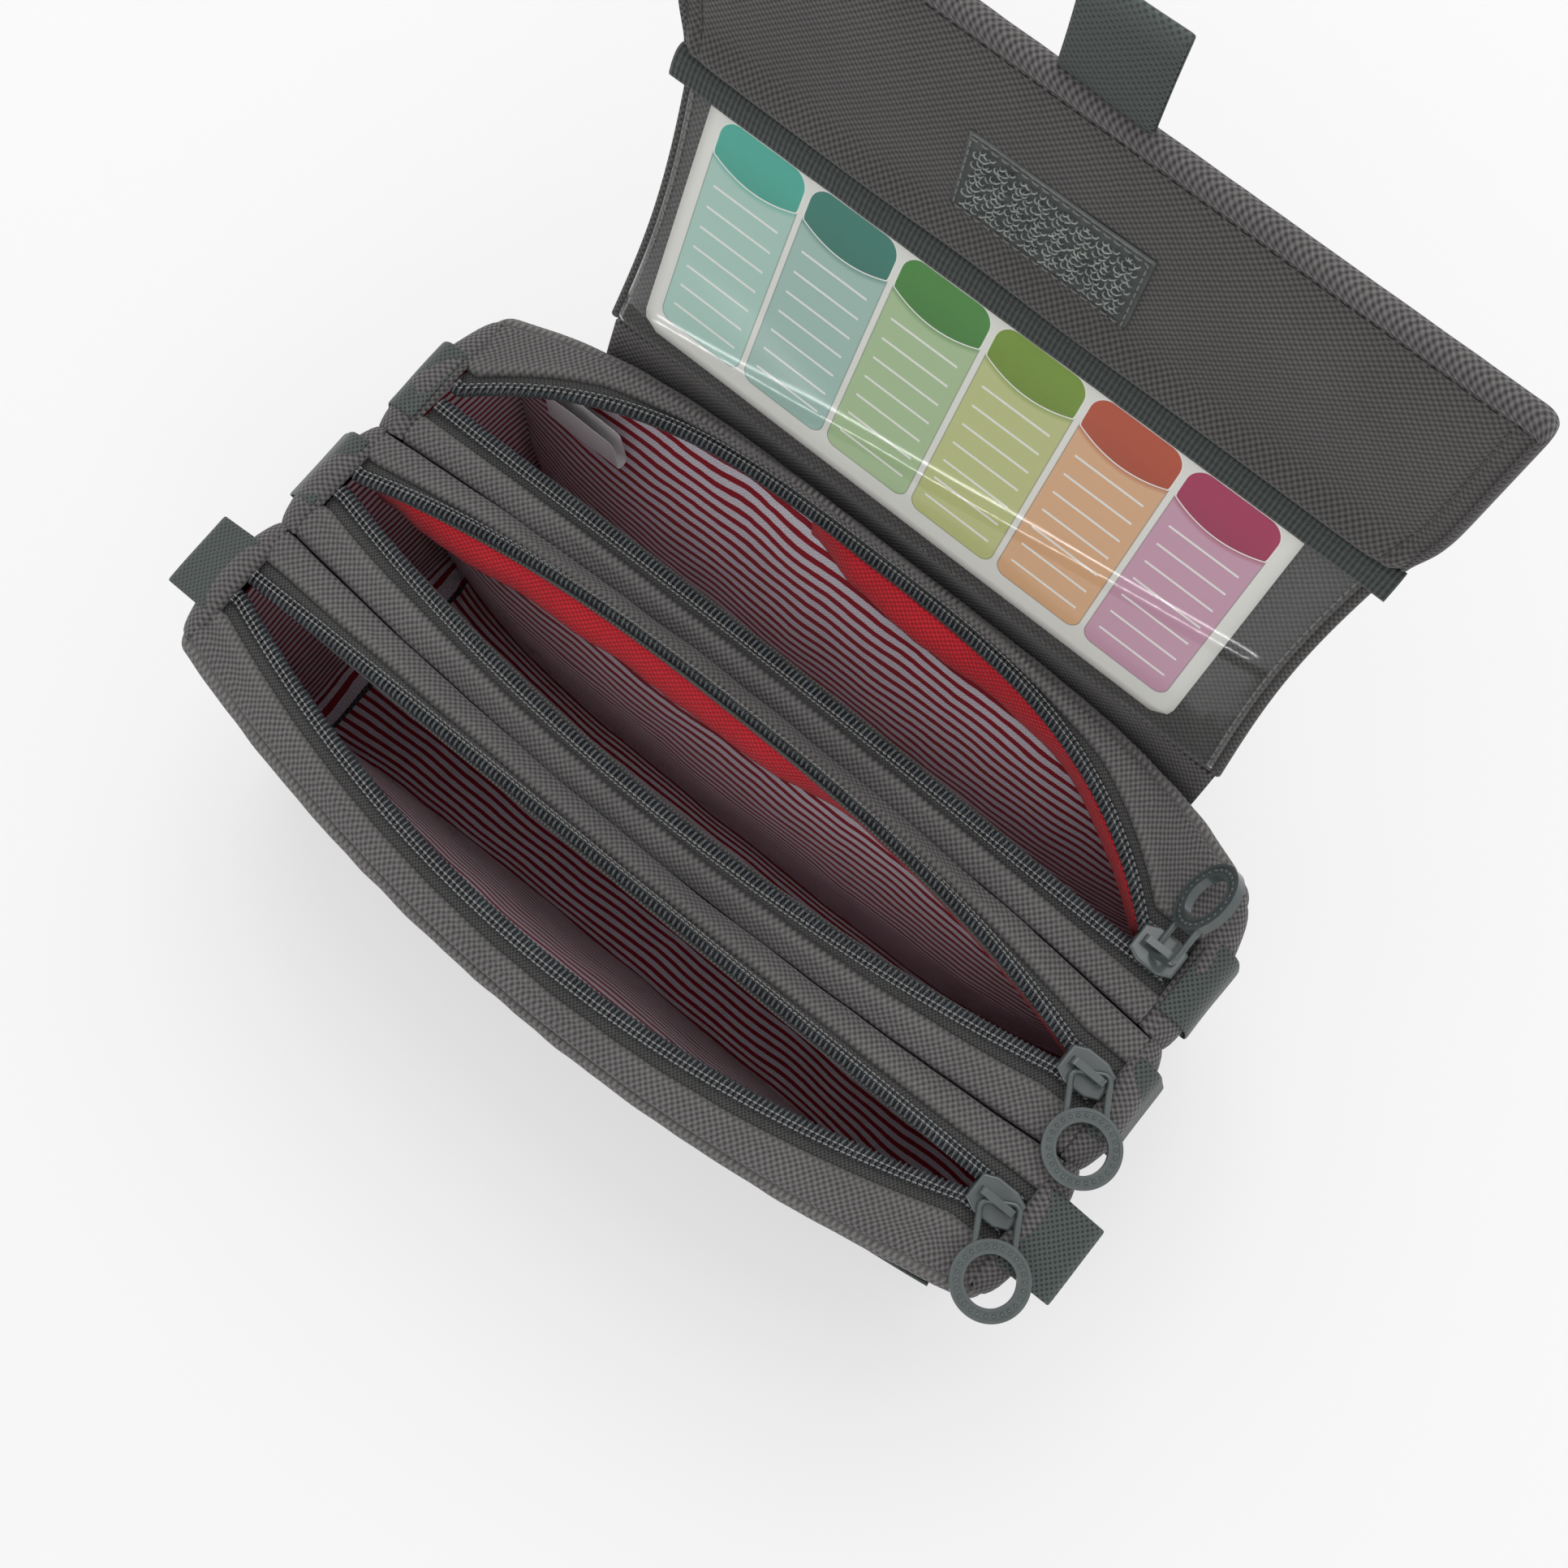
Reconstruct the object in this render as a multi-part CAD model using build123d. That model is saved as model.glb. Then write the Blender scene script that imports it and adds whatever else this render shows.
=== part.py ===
from build123d import *
import os
from math import asin, cos, degrees, hypot, radians, sin, sqrt

# Three-compartment pencil case, zips open and flap laid back.
# X runs along the case, Y from front to back, Z up from the surface it stands on.
# Pouch 0 is the front one, 1 the middle one and 2 the back one.
# Seam 0 is the front panel, seams 1 and 2 the dividers and seam 3 the back panel.

os.makedirs("parts", exist_ok=True)

# Case body
case_length = 220.0
case_height = 92.0
pouch_depth = 32.0
bottom_corner = 9.0
top_corner = 3.0
panel_cloth = 1.5
band_cloth = 1.2
seam_gap = 0.3
overrun = 4.0

# Shape of the four seams, as shares of a pouch's depth
seam_lean_shares = (-0.09, -0.03, -0.09, 0.06)
seam_belly_shares = (-0.47, -0.17, 0.16, 0.41)
seam_taper_shares = (0, 0, 0.05, 0.16)
seam_roundness = (2, 2, 2, 4)
belly_rise_share = 1.5
divider_dip = 4.0

# Zips
zip_place_shares = (-1.03, -0.03, 0.88)
zip_end_margin = 0.3
coil_offset = 2.1
coil_width = 2.4
coil_height = 2.0
tape_cloth = 0.8
tape_reach = 6.0
tape_tuck = 1.0
tape_gap = 0.1
strip_start_share = 0.5
mouth_belly_shares = ((-0.56, 0.0), (-0.34, 0.34), (0.0, 0.84))
mouth_rise_shares = ((0.08, 0.19), (0.19, 0.19), (0.19, 0.03))
mouth_roundness = ((2.0, 2.0), (2.0, 2.5), (2.0, 3.2))
mouth_left_margin = 2.5

# Sliders
slider_length = 11.0
slider_width = 8.8
slider_plate = 1.2
slider_running_gap = 0.3
slider_end_gap = 0.5
nose_width = 6.0
nose_length = 3.0
post_length = 2.4
post_width = 1.4
crown_length = 8.4
crown_width = 1.6
crown_window = 2.3
crown_strap = 1.1
crown_leg = 1.2

# Ring pulls
ring_radius = 8.25
ring_bore = 5.3
ring_thickness = 1.6
rim_width = 0.7
rim_height = 0.25
bead_radius = 0.42
bead_count = 26
eye_wire = 1.4
eye_width = 8.04
eye_corner = 1.6
pull_reach = 15.5
pull_yaw = -60.0
bar_centre = 0.82
back_pull_lean = 30.0
back_pull_lift = 6.0
strap_clearance = 0.1

# Lining, facing and label
lining_cloth = 0.6
lining_gap = 0.4
lining_top_drop = 7.5
lining_sag_shares = ((0.16, 0.05), (0.05, 0.34), (0, 0.34))
sag_turn_share = 0.5
sag_end_power = 4
facing_height = 8.0
facing_cloth = 0.6
facing_gap = 0.25
back_facing_start = -20.0
facing_end_margin = 8.0
label_width = 22.0
label_height = 16.0
label_thickness = 0.4
label_fold = 3.0
label_end_margin = 12.0
label_drop = 2.0

# Webbing tabs
tab_width = 20.0
tab_length = 14.0
tab_cloth = 0.9
tab_fold_gap = 0.25
tab_droops = ((20.0, 8.0), (60.0, 75.0), (75.0, 80.0))
tab_nose = 0.4
tab_root_gap = 0.5

# Front face
trim_height = 20.0
trim_cloth = 0.9
trim_base = 52.0
trim_end_margin = 8.0
loop_patch_length = 42.0
loop_patch_height = 18.0
loop_patch_cloth = 1.4

# Flap
flap_width = 165.0
flap_lean = 61.5
flap_bend = 18.5
flap_rise = 5.0
flap_cloth = 1.5
flap_base_drop = 12.0
inner_length = 70.0
roll_share = 0.46
ribbon_setback = 1.5
window_sheet = 0.3
window_start = 2.0
window_margin = 1.5
window_lap = 2.0
card_length = 140.0
card_sheet = 0.3
card_shift = -3.8
card_start = 4.5
card_corner = 4.0
ribbon_width = 5.0
ribbon_overhang = 2.5
ribbon_cloth = 0.8
outer_width = 174.0
outer_length = 53.0
outer_corner = 3.5
outer_cloth = 1.0
foam_thickness = 3.0
hook_length = 40.0
hook_height = 20.0
hook_cloth = 1.2
hook_shift = -1.5
hook_start = 10.5
loop_width = 20.0
loop_length = 23.0
loop_shift = -1.5
loop_cloth = 0.9
loop_lap = 6.0

side_ends = ("left", "right")
along_shares = [step / 5 - 1 for step in range(11)]
mouth_shares = (-1, -0.95, -0.86, -0.7, -0.48, -0.24, 0, 0.24, 0.48, 0.7, 0.86, 0.95, 1)
quarter_turn = [30 * step for step in range(4)]


def save(shape, name):
    export_step(shape, f"parts/{name}.step")


# Body shape

def half_length(seam):
    return case_length / 2 - seam_taper_shares[seam] * pouch_depth


def seam_y(seam, x, z):
    rise = z / case_height
    belly = 1 - min(abs(x) / half_length(seam), 1) ** seam_roundness[seam]
    lean = seam_lean_shares[seam] * rise
    swell = seam_belly_shares[seam] * rise**belly_rise_share * belly
    return pouch_depth * (seam - 1.5 + lean + swell)


def end_at(seam, z, inset=0):
    # half the body's length at height z, seen from inside by inset
    if z < bottom_corner:
        radius, drop = bottom_corner, bottom_corner - z
    elif z > case_height - top_corner:
        radius, drop = top_corner, z - (case_height - top_corner)
    else:
        return half_length(seam) - inset
    return half_length(seam) - radius + sqrt(max((radius - inset) ** 2 - drop**2, 0))


def levels(low, high):
    # heights for a wall, closer together round the corners
    turns = [bottom_corner * (1 - cos(radians(a))) for a in quarter_turn]
    middle = [case_height * share for share in (0.25, 0.4, 0.55, 0.7, 0.82)]
    top = [case_height - top_corner * (1 - sin(radians(a))) for a in quarter_turn]
    inside = [z for z in turns + middle + top if low + seam_gap < z < high - seam_gap]
    return [low] + inside + [high]


def flat_section(z, low_line, high_line, low_half, high_half):
    # outline at height z between two lines that run along the case
    def run(line, half):
        return [(half * share, line(half * share), z) for share in along_shares]

    low, high = run(low_line, low_half), run(high_line, high_half)
    edges = [Spline(*low), Line(low[-1], high[-1]), Spline(*high[::-1]), Line(high[0], low[0])]
    return Face(Wire(edges))


def wall(seam, offset, thickness, low, high, end_inset=0, slack=None):
    # sheet that follows a seam's surface, offset from it in Y
    sections = []
    for z in levels(low, high):
        half = end_at(seam, z) - end_inset

        def middle(x):
            return seam_y(seam, x, z) + offset - (slack(x, z) if slack else 0)

        sections.append(flat_section(z, lambda x: middle(x) - thickness / 2,
                                     lambda x: middle(x) + thickness / 2, half, half))
    return loft(sections, ruled=True)


def panel(seam):
    top = case_height if seam in (0, 3) else case_height - divider_dip - seam_gap
    return wall(seam, 0, panel_cloth, 0, top)


# Gusset bands

def zip_y(pouch):
    return zip_place_shares[pouch] * pouch_depth


def zip_end(pouch):
    return min(half_length(pouch), half_length(pouch + 1)) - top_corner - zip_end_margin


def outline(seam, start):
    # points round the left half of the body, from the end of the zip to mid-bottom
    end = half_length(seam)
    points = [(-start, case_height, 0, 1)]
    for a in quarter_turn:
        s, c = sin(radians(a)), cos(radians(a))
        points.append((-(end - top_corner + top_corner * s), case_height - top_corner * (1 - c), -s, c))
    for a in quarter_turn:
        s, c = sin(radians(a)), cos(radians(a))
        points.append((-(end - bottom_corner + bottom_corner * c), bottom_corner * (1 - s), -c, -s))
    return points


def gusset(pouch):
    # each end is a bent strip, and a flat slab joins the two along the bottom
    start = zip_end(pouch) + zip_end_margin / 2
    front = outline(pouch, start)
    back = outline(pouch + 1, start)
    inset = panel_cloth / 2 + seam_gap
    sections = []
    for (xf, z, nx, nz), (xb, _, _, _) in zip(front, back):
        yf = seam_y(pouch, xf, z) + inset
        yb = seam_y(pouch + 1, xb, z) - inset
        sections.append([(xf, yf, z), (xb, yb, z),
                         (xb - nx * band_cloth, yb, z - nz * band_cloth),
                         (xf - nx * band_cloth, yf, z - nz * band_cloth)])
    left = ribbon(sections)
    (xf, yf, _), (xb, yb, _) = sections[-1][:2]
    floor = make_face(Polyline((xf, yf), (-xf, yf), (-xb, yb), (xb, yb), close=True))
    return left + extrude(floor, band_cloth) + mirror(left, about=Plane.YZ)


def ribbon(sections):
    # long thin solid through four-cornered sections
    return loft([Face(Wire.make_polygon([Vector(*p) for p in s])) for s in sections], ruled=True)


# Top strips, tapes and coils

def slider_x(pouch):
    return zip_end(pouch) - slider_end_gap - slider_length / 2


def mouth_stations(pouch):
    left = -zip_end(pouch) + mouth_left_margin
    right = slider_x(pouch) - slider_length / 2
    middle, half = (left + right) / 2, (right - left) / 2
    inner = [(middle + half * share, share) for share in mouth_shares]
    return [(-zip_end(pouch), -1)] + inner + [(zip_end(pouch), 1)]


def edge_frames(pouch, side):
    # for each station: coil centre, start of the strip, seam, and the strip's normal
    seam = pouch + side
    away = 1 if side else -1
    frames = []
    for x, share in mouth_stations(pouch):
        opened = 1 - abs(share) ** mouth_roundness[pouch][side]
        coil_y = zip_y(pouch) + away * coil_offset
        coil_y += mouth_belly_shares[pouch][side] * pouch_depth * opened
        coil_z = case_height + mouth_rise_shares[pouch][side] * pouch_depth * opened
        seam_edge_y = seam_y(seam, x, case_height) - away * (panel_cloth / 2 + seam_gap)
        dip = divider_dip * (1 - (x / half_length(seam)) ** 2) if seam in (1, 2) else 0
        seam_edge_z = case_height - dip
        dy, dz = seam_edge_y - coil_y, seam_edge_z - coil_z
        reach = hypot(dy, dz)
        ey, ez = dy / reach, dz / reach
        ny, nz = -ez * away, ey * away
        strip_start = min(tape_reach, strip_start_share * reach)
        frames.append((x, coil_y, coil_z, ey, ez, ny, nz, strip_start, reach))
    return frames


def edge_ribbon(pouch, side, start_of, stop_of, low, high):
    # ribbon in each frame from start to stop across the edge, low to high along its normal
    sections = []
    for x, cy, cz, ey, ez, ny, nz, strip_start, reach in edge_frames(pouch, side):
        near, far = start_of(strip_start, reach), stop_of(strip_start, reach)
        corners = ((near, low), (far, low), (far, high), (near, high))
        sections.append([(x, cy + ey * a + ny * n, cz + ez * a + nz * n) for a, n in corners])
    return ribbon(sections)


def top_strip(pouch, side):
    return edge_ribbon(pouch, side, lambda s, r: s, lambda s, r: r, -band_cloth / 2, band_cloth / 2)


def tape(pouch, side):
    top = -band_cloth / 2 - tape_gap
    return edge_ribbon(pouch, side, lambda s, r: -coil_width / 2, lambda s, r: s + tape_tuck,
                       top - tape_cloth, top)


def coil(pouch, side):
    low = -band_cloth / 2
    return edge_ribbon(pouch, side, lambda s, r: -coil_width / 2, lambda s, r: coil_width / 2,
                       low, low + coil_height)


# Linings, facings and label

def sag(pouch, side, x, z):
    # how far the lining's front or rear wall hangs away from its seam
    depth = (case_height - lining_top_drop - z) / (case_height - lining_top_drop)
    ease = sin(radians(90 * min(max(depth, 0) / sag_turn_share, 1)))
    ends = 1 - min(abs(x) / half_length(pouch + side), 1) ** sag_end_power
    return lining_sag_shares[pouch][side] * pouch_depth * ease * ends


def pouch_space(pouch, inset, low, high):
    sections = []
    reach = panel_cloth / 2 + inset
    end_inset = band_cloth + inset
    for z in levels(low, high):
        sections.append(flat_section(
            z,
            lambda x: seam_y(pouch, x, z) + reach + sag(pouch, 0, x, z),
            lambda x: seam_y(pouch + 1, x, z) - reach - sag(pouch, 1, x, z),
            end_at(pouch, max(z, end_inset), end_inset),
            end_at(pouch + 1, max(z, end_inset), end_inset)))
    return loft(sections, ruled=True)


def lining(pouch):
    top = case_height - lining_top_drop
    outside = pouch_space(pouch, lining_gap, band_cloth + lining_gap, top)
    inset = lining_gap + lining_cloth
    inside = pouch_space(pouch, inset, band_cloth + inset, top)
    lid = extrude(inside.faces().sort_by(Axis.Z)[-1], overrun)
    return outside - inside - lid


def facing(pouch, start, end):
    # woven band sewn over the top of the rear wall's lining
    high = case_height - lining_top_drop
    offset = -(panel_cloth / 2 + lining_gap + lining_cloth + facing_gap + facing_cloth / 2)
    band = wall(pouch + 1, offset, facing_cloth, high - facing_height, high, facing_end_margin,
                lambda x, z: sag(pouch, 1, x, z))
    middle = (start + end) / 2
    return band & Pos(middle, 0, 0) * Box(end - start, case_length, 2 * case_length)


def care_label():
    # strip of satin folded in half, hanging near the left end of the back pouch
    left = -zip_end(2) + label_end_margin
    top = case_height - lining_top_drop - label_drop
    corners = [(x, z) for x in (left, left + label_width) for z in (top - label_height, top)]
    nearest = min(seam_y(3, x, z) - sag(2, 1, x, z) for x, z in corners)
    behind = nearest - panel_cloth / 2 - lining_gap - lining_cloth - facing_gap
    depth = 2 * label_thickness + label_fold
    outside = Box(label_width, depth, label_height)
    slot = Pos(0, 0, label_thickness) * Box(label_width + overrun, label_fold, label_height)
    return Pos(left + label_width / 2, behind - depth / 2, top - label_height / 2) * (outside - slot)


# Tabs

def tab(pouch, end):
    # webbing folded back on itself, sewn in at the end of the zip and bent down over the corner
    thickness = 2 * tab_cloth + tab_fold_gap
    root = zip_end(pouch) + zip_end_margin + tab_root_gap
    corner_x = max(half_length(pouch) - top_corner, half_length(pouch + 1) - top_corner, root)
    radius = top_corner + seam_gap
    droop = tab_droops[pouch][side_ends.index(end)]
    bend = radians(droop)
    lead = corner_x - root
    straight = tab_length - lead - radius * bend
    # places along the underside, each with the way out of it
    places = [(root, case_height + seam_gap, 0)] if lead > 0 else []
    turns = [bend * step / 6 for step in range(7)]
    for a in turns:
        places.append((corner_x + radius * sin(a), case_height - top_corner + radius * cos(a), a))
    x, z, a = places[-1]
    nose = tab_cloth * tab_nose
    for run in (straight - tab_cloth, straight - nose):
        places.append((x + run * cos(a), z - run * sin(a), a))

    def at(place, out, along=0):
        x, z, a = place
        return (x + out * sin(a) + along * cos(a), z + out * cos(a) - along * sin(a))

    end_points = [at(places[-1], tab_cloth * tab_nose, nose), at(places[-1], thickness - nose, nose)]
    outside = [at(q, 0) for q in places] + end_points + [at(q, thickness) for q in places[::-1]]
    slot = [at(q, tab_cloth) for q in places[:-1]] + [at(q, tab_cloth + tab_fold_gap) for q in places[-2::-1]]
    shape = extrude(Plane.XZ * make_face(Polyline(*outside, close=True)), tab_width / 2, both=True)
    shape -= extrude(Plane.XZ * make_face(Polyline(*slot, close=True)), tab_width, both=True)
    shape = Pos(0, zip_y(pouch), 0) * shape
    return shape if end == "right" else mirror(shape, about=Plane.YZ)


# Front face

def front_trim():
    offset = -(panel_cloth / 2 + seam_gap + trim_cloth / 2)
    return wall(0, offset, trim_cloth, trim_base, trim_base + trim_height, trim_end_margin)


def loop_patch():
    offset = -(panel_cloth / 2 + 2 * seam_gap + trim_cloth + loop_patch_cloth / 2)
    low = trim_base + (trim_height - loop_patch_height) / 2
    band = wall(0, offset, loop_patch_cloth, low, low + loop_patch_height, trim_end_margin)
    return band & Box(loop_patch_length, case_length, 2 * case_length)


# Flap

def hinge_y():
    return seam_y(3, 0, case_height) + panel_cloth / 2 + seam_gap + band_cloth / 2


def hinge_z():
    return case_height + flap_rise


def flap_base():
    low = case_height - flap_base_drop
    top = hinge_z() - flap_cloth / 2 - seam_gap
    high = top - band_cloth / 2
    half = flap_width / 2
    sections = []
    for share in (0, 0.5, 1):
        z = low + (high - low) * share

        def middle(x):
            reach = panel_cloth / 2 + seam_gap + band_cloth / 2
            on_panel = seam_y(3, x, min(z, case_height)) + reach
            return on_panel + (hinge_y() - on_panel) * share

        sections.append(flat_section(z, lambda x: middle(x) - band_cloth / 2,
                                     lambda x: middle(x) + band_cloth / 2, half, half))
    bead = Pos(0, hinge_y(), high) * Rot(0, 90, 0) * Cylinder(band_cloth / 2, flap_width)
    return loft(sections, ruled=True) + bead


def inner_plane():
    a = radians(flap_lean)
    return Plane(origin=(0, hinge_y(), hinge_z()), x_dir=(1, 0, 0), z_dir=(0, -sin(a), cos(a)))


def outer_plane():
    a, b = radians(flap_lean), radians(flap_lean + flap_bend)
    fold = (0, hinge_y() + inner_length * cos(a), hinge_z() + inner_length * sin(a))
    return Plane(origin=fold, x_dir=(1, 0, 0), z_dir=(0, -sin(b), cos(b)))


def sheet(plane, length, start, height, low, thickness, shift=0, corner=0, rounded="all"):
    # flat piece in a flap plane: start and height run up the flap, low is its distance off it
    body = Pos(shift, start, low) * Box(length, height, thickness,
                                        align=(Align.CENTER, Align.MIN, Align.MIN))
    if corner:
        edges = body.edges().filter_by(Axis.Z).sort_by(Axis.Y)
        body = fillet(edges if rounded == "all" else edges[-2:], corner)
    return plane.location * body


def inner_flap():
    # its two long edges are rolled round the fold lines
    body = Pos(0, inner_length / 2, 0) * Box(flap_width, inner_length + flap_cloth, flap_cloth)
    body = fillet(body.edges().filter_by(Axis.X), flap_cloth * roll_share)
    return inner_plane().location * body


def ribbon_start():
    return inner_length - ribbon_setback - ribbon_width


def card():
    return sheet(inner_plane(), card_length, card_start, ribbon_start() - card_start,
                 flap_cloth / 2 + seam_gap, card_sheet, card_shift, card_corner)


def window():
    low = flap_cloth / 2 + 2 * seam_gap + card_sheet
    return sheet(inner_plane(), flap_width - 2 * window_margin, window_start,
                 ribbon_start() + window_lap - window_start, low, window_sheet)


def ribbon_strip():
    low = flap_cloth / 2 + 3 * seam_gap + card_sheet + window_sheet
    return sheet(inner_plane(), flap_width + 2 * ribbon_overhang, ribbon_start(), ribbon_width,
                 low, ribbon_cloth)


def outer_layer(low, thickness):
    start = flap_cloth / 2 + seam_gap
    return sheet(outer_plane(), outer_width, start, outer_length - start,
                 low, thickness, corner=outer_corner, rounded="edge")


def hook_patch():
    return sheet(outer_plane(), hook_length, hook_start, hook_height,
                 outer_cloth + seam_gap, hook_cloth, hook_shift)


def pull_loop():
    # webbing folded back on itself, sewn between the layers of the outer edge
    thickness = 2 * loop_cloth + seam_gap
    low = outer_cloth / 2 - thickness / 2 - foam_thickness / 2
    start = outer_length + seam_gap
    outside = Pos(0, start, low) * Box(loop_width, loop_length, thickness,
                                       align=(Align.CENTER, Align.MIN, Align.MIN))
    slot = Pos(0, start, low + loop_cloth) * Box(loop_width + overrun, loop_length - loop_cloth, seam_gap,
                                                 align=(Align.CENTER, Align.MIN, Align.MIN))
    return outer_plane().location * (Pos(loop_shift, 0, 0) * (outside - slot))


# Sliders and pulls

def plate_outline():
    half, nose = slider_width / 2, nose_width / 2
    left, right = -slider_length / 2, slider_length / 2
    points = [(left, -nose), (left + nose_length, -half), (right - nose_length, -half), (right, -nose),
              (right, nose), (right - nose_length, half), (left + nose_length, half), (left, nose)]
    return make_face(Polyline(*points, close=True))


def slider_plate_tops():
    # height of the underside of the lower plate and of the top of the upper plate, from the zip
    tape_bottom = -band_cloth / 2 - tape_gap - tape_cloth
    coil_top = -band_cloth / 2 + coil_height
    low = tape_bottom - slider_running_gap - slider_plate
    high = coil_top + slider_running_gap + slider_plate
    return low, high


def slider():
    low, high = slider_plate_tops()
    bottom = extrude(Pos(0, 0, low) * plate_outline(), slider_plate)
    top = extrude(Pos(0, 0, high - slider_plate) * plate_outline(), slider_plate)
    top = fillet(top.faces().sort_by(Axis.Z)[-1].edges(), slider_plate / 2)
    post = Pos(-slider_length / 2 + post_length, 0, low) * Box(
        post_length, post_width, high - low, align=(Align.CENTER, Align.CENTER, Align.MIN))
    tall = crown_window + crown_strap
    crown = Pos(0, 0, high) * Box(crown_length, crown_width, tall,
                                  align=(Align.CENTER, Align.CENTER, Align.MIN))
    crown = fillet(crown.edges().filter_by(Axis.Y).group_by(Axis.Z)[-1], crown_strap)
    hole = Pos(0, 0, high) * Box(crown_length - 2 * crown_leg, crown_width + overrun, crown_window,
                                 align=(Align.CENTER, Align.CENTER, Align.MIN))
    hole = fillet(hole.edges().filter_by(Axis.Y).group_by(Axis.Z)[-1], crown_strap / 2)
    return bottom + top + post + (crown - hole)


def ring_pull():
    # flat in XY: the eye's bar lies on the Y axis, the ring's centre on the X axis
    disc = Cylinder(ring_radius, ring_thickness)
    for face in (1, -1):
        z = face * (ring_thickness + rim_height) / 2
        rims = Cylinder(ring_radius, rim_height) - Cylinder(ring_radius - rim_width, rim_height)
        rims += Cylinder(ring_bore + rim_width, rim_height) - Cylinder(ring_bore, rim_height)
        disc += Pos(0, 0, z) * rims
    disc -= Cylinder(ring_bore, ring_thickness + overrun)
    bead_circle = (ring_radius + ring_bore) / 2
    for step in range(bead_count):
        a = radians(360 * step / bead_count)
        disc += Pos(bead_circle * cos(a), bead_circle * sin(a), ring_thickness / 2) * Sphere(bead_radius)
    half = eye_width / 2
    join = pull_reach - sqrt(bead_circle**2 - half**2)
    path = FilletPolyline((join, -half), (0, -half), (0, half), (join, half), radius=eye_corner)
    section = Plane(origin=path @ 0, z_dir=path % 0) * Circle(eye_wire / 2)
    eye = sweep(section, path=path)
    return eye + Pos(pull_reach, 0, 0) * disc


def slider_top():
    return case_height + slider_plate_tops()[1]


def place_pull(pouch):
    x, y = slider_x(pouch), zip_y(pouch)
    if pouch < 2:
        # lying flat, its bar through the crown's window
        z = slider_top() + crown_window / 2
        return Pos(x, y, z) * Rot(0, 0, pull_yaw) * Pos(0, bar_centre, 0)
    # on its edge behind the crown, the strap inside its eye
    strap_z = slider_top() + crown_window + crown_strap / 2
    keep = hypot(crown_width, crown_strap) / 2 + strap_clearance + eye_wire / 2
    turn = Rot(back_pull_lift, 0, 0) * Rot(0, back_pull_lean, 0) * Rot(0, -90, 0) * Rot(0, 0, 90)
    return Pos(x, y, strap_z) * turn * Pos(-keep, keep - eye_width / 2, 0)


pouch_names = ("front", "middle", "back")
side_names = ("front", "rear")

for seam, name in enumerate(("front_panel", "front_divider", "rear_divider", "back_panel")):
    save(panel(seam), name)

for pouch, name in enumerate(pouch_names):
    save(gusset(pouch), f"{name}_gusset")
    save(lining(pouch), f"{name}_lining")
    for side, side_name in enumerate(side_names):
        save(top_strip(pouch, side), f"{name}_{side_name}_strip")
        save(tape(pouch, side), f"{name}_{side_name}_tape")
        save(coil(pouch, side), f"{name}_{side_name}_coil")
    for end in side_ends:
        save(tab(pouch, end), f"{name}_{end}_tab")
    save(Pos(slider_x(pouch), zip_y(pouch), case_height) * slider(), f"{name}_slider")
    save(place_pull(pouch) * ring_pull(), f"{name}_pull")

full = case_length / 2
save(facing(1, -full, full), "middle_facing")
save(facing(2, back_facing_start, full), "back_facing")
save(care_label(), "care_label")
save(front_trim(), "front_trim")
save(loop_patch(), "loop_patch")
save(flap_base(), "flap_base")
save(inner_flap(), "inner_flap")
save(card(), "card")
save(window(), "window")
save(ribbon_strip(), "fold_ribbon")
save(outer_layer(0, outer_cloth), "outer_facing")
save(outer_layer(-seam_gap - foam_thickness, foam_thickness), "outer_foam")
save(outer_layer(-2 * seam_gap - foam_thickness - outer_cloth, outer_cloth), "outer_cover")
save(hook_patch(), "hook_patch")
save(pull_loop(), "pull_loop")
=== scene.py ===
import math
import bpy
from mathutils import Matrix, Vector, noise


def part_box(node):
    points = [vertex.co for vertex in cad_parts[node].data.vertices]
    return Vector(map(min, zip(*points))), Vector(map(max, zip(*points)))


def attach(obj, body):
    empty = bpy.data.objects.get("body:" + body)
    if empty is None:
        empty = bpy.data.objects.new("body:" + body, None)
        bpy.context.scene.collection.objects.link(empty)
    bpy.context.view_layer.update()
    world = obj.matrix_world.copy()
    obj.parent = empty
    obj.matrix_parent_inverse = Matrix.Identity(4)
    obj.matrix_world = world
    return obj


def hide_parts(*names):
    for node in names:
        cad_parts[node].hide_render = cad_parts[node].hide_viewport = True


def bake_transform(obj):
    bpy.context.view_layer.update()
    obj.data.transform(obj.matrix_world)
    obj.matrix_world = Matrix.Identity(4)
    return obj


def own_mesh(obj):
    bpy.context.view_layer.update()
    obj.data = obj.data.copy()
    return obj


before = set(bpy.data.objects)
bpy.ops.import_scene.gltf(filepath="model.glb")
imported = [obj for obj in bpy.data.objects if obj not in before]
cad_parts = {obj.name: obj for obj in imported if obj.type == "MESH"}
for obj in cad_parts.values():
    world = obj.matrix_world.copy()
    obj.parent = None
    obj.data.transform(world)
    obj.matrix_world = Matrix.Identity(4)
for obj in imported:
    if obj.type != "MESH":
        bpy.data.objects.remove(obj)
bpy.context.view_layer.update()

# Three-compartment pencil case: three zipped cloth pouches side by side, and a
# flap at the back with a timetable card behind a clear window.
# All sizes below are in millimetres and are turned to metres when a mesh is made.

toMetres = 0.001
pouchNames = ["front", "middle", "back"]


# Camera

camera = {
    "place": (69.9, -55.9, 492.6),
    "turn": 39.14,       # how far the case is turned in the picture
    "tiltX": 11.95,
    "tiltY": -0.63,
    "focal": 2380.0,     # in pixels of a 1932 pixel wide picture
    "picture": 1932.0,
}


def hexColour(text):
    channels = [int(text[i:i + 2], 16) / 255 for i in (1, 3, 5)]
    return [c / 12.92 if c <= 0.04045 else ((c + 0.055) / 1.055) ** 2.4 for c in channels] + [1.0]


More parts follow.
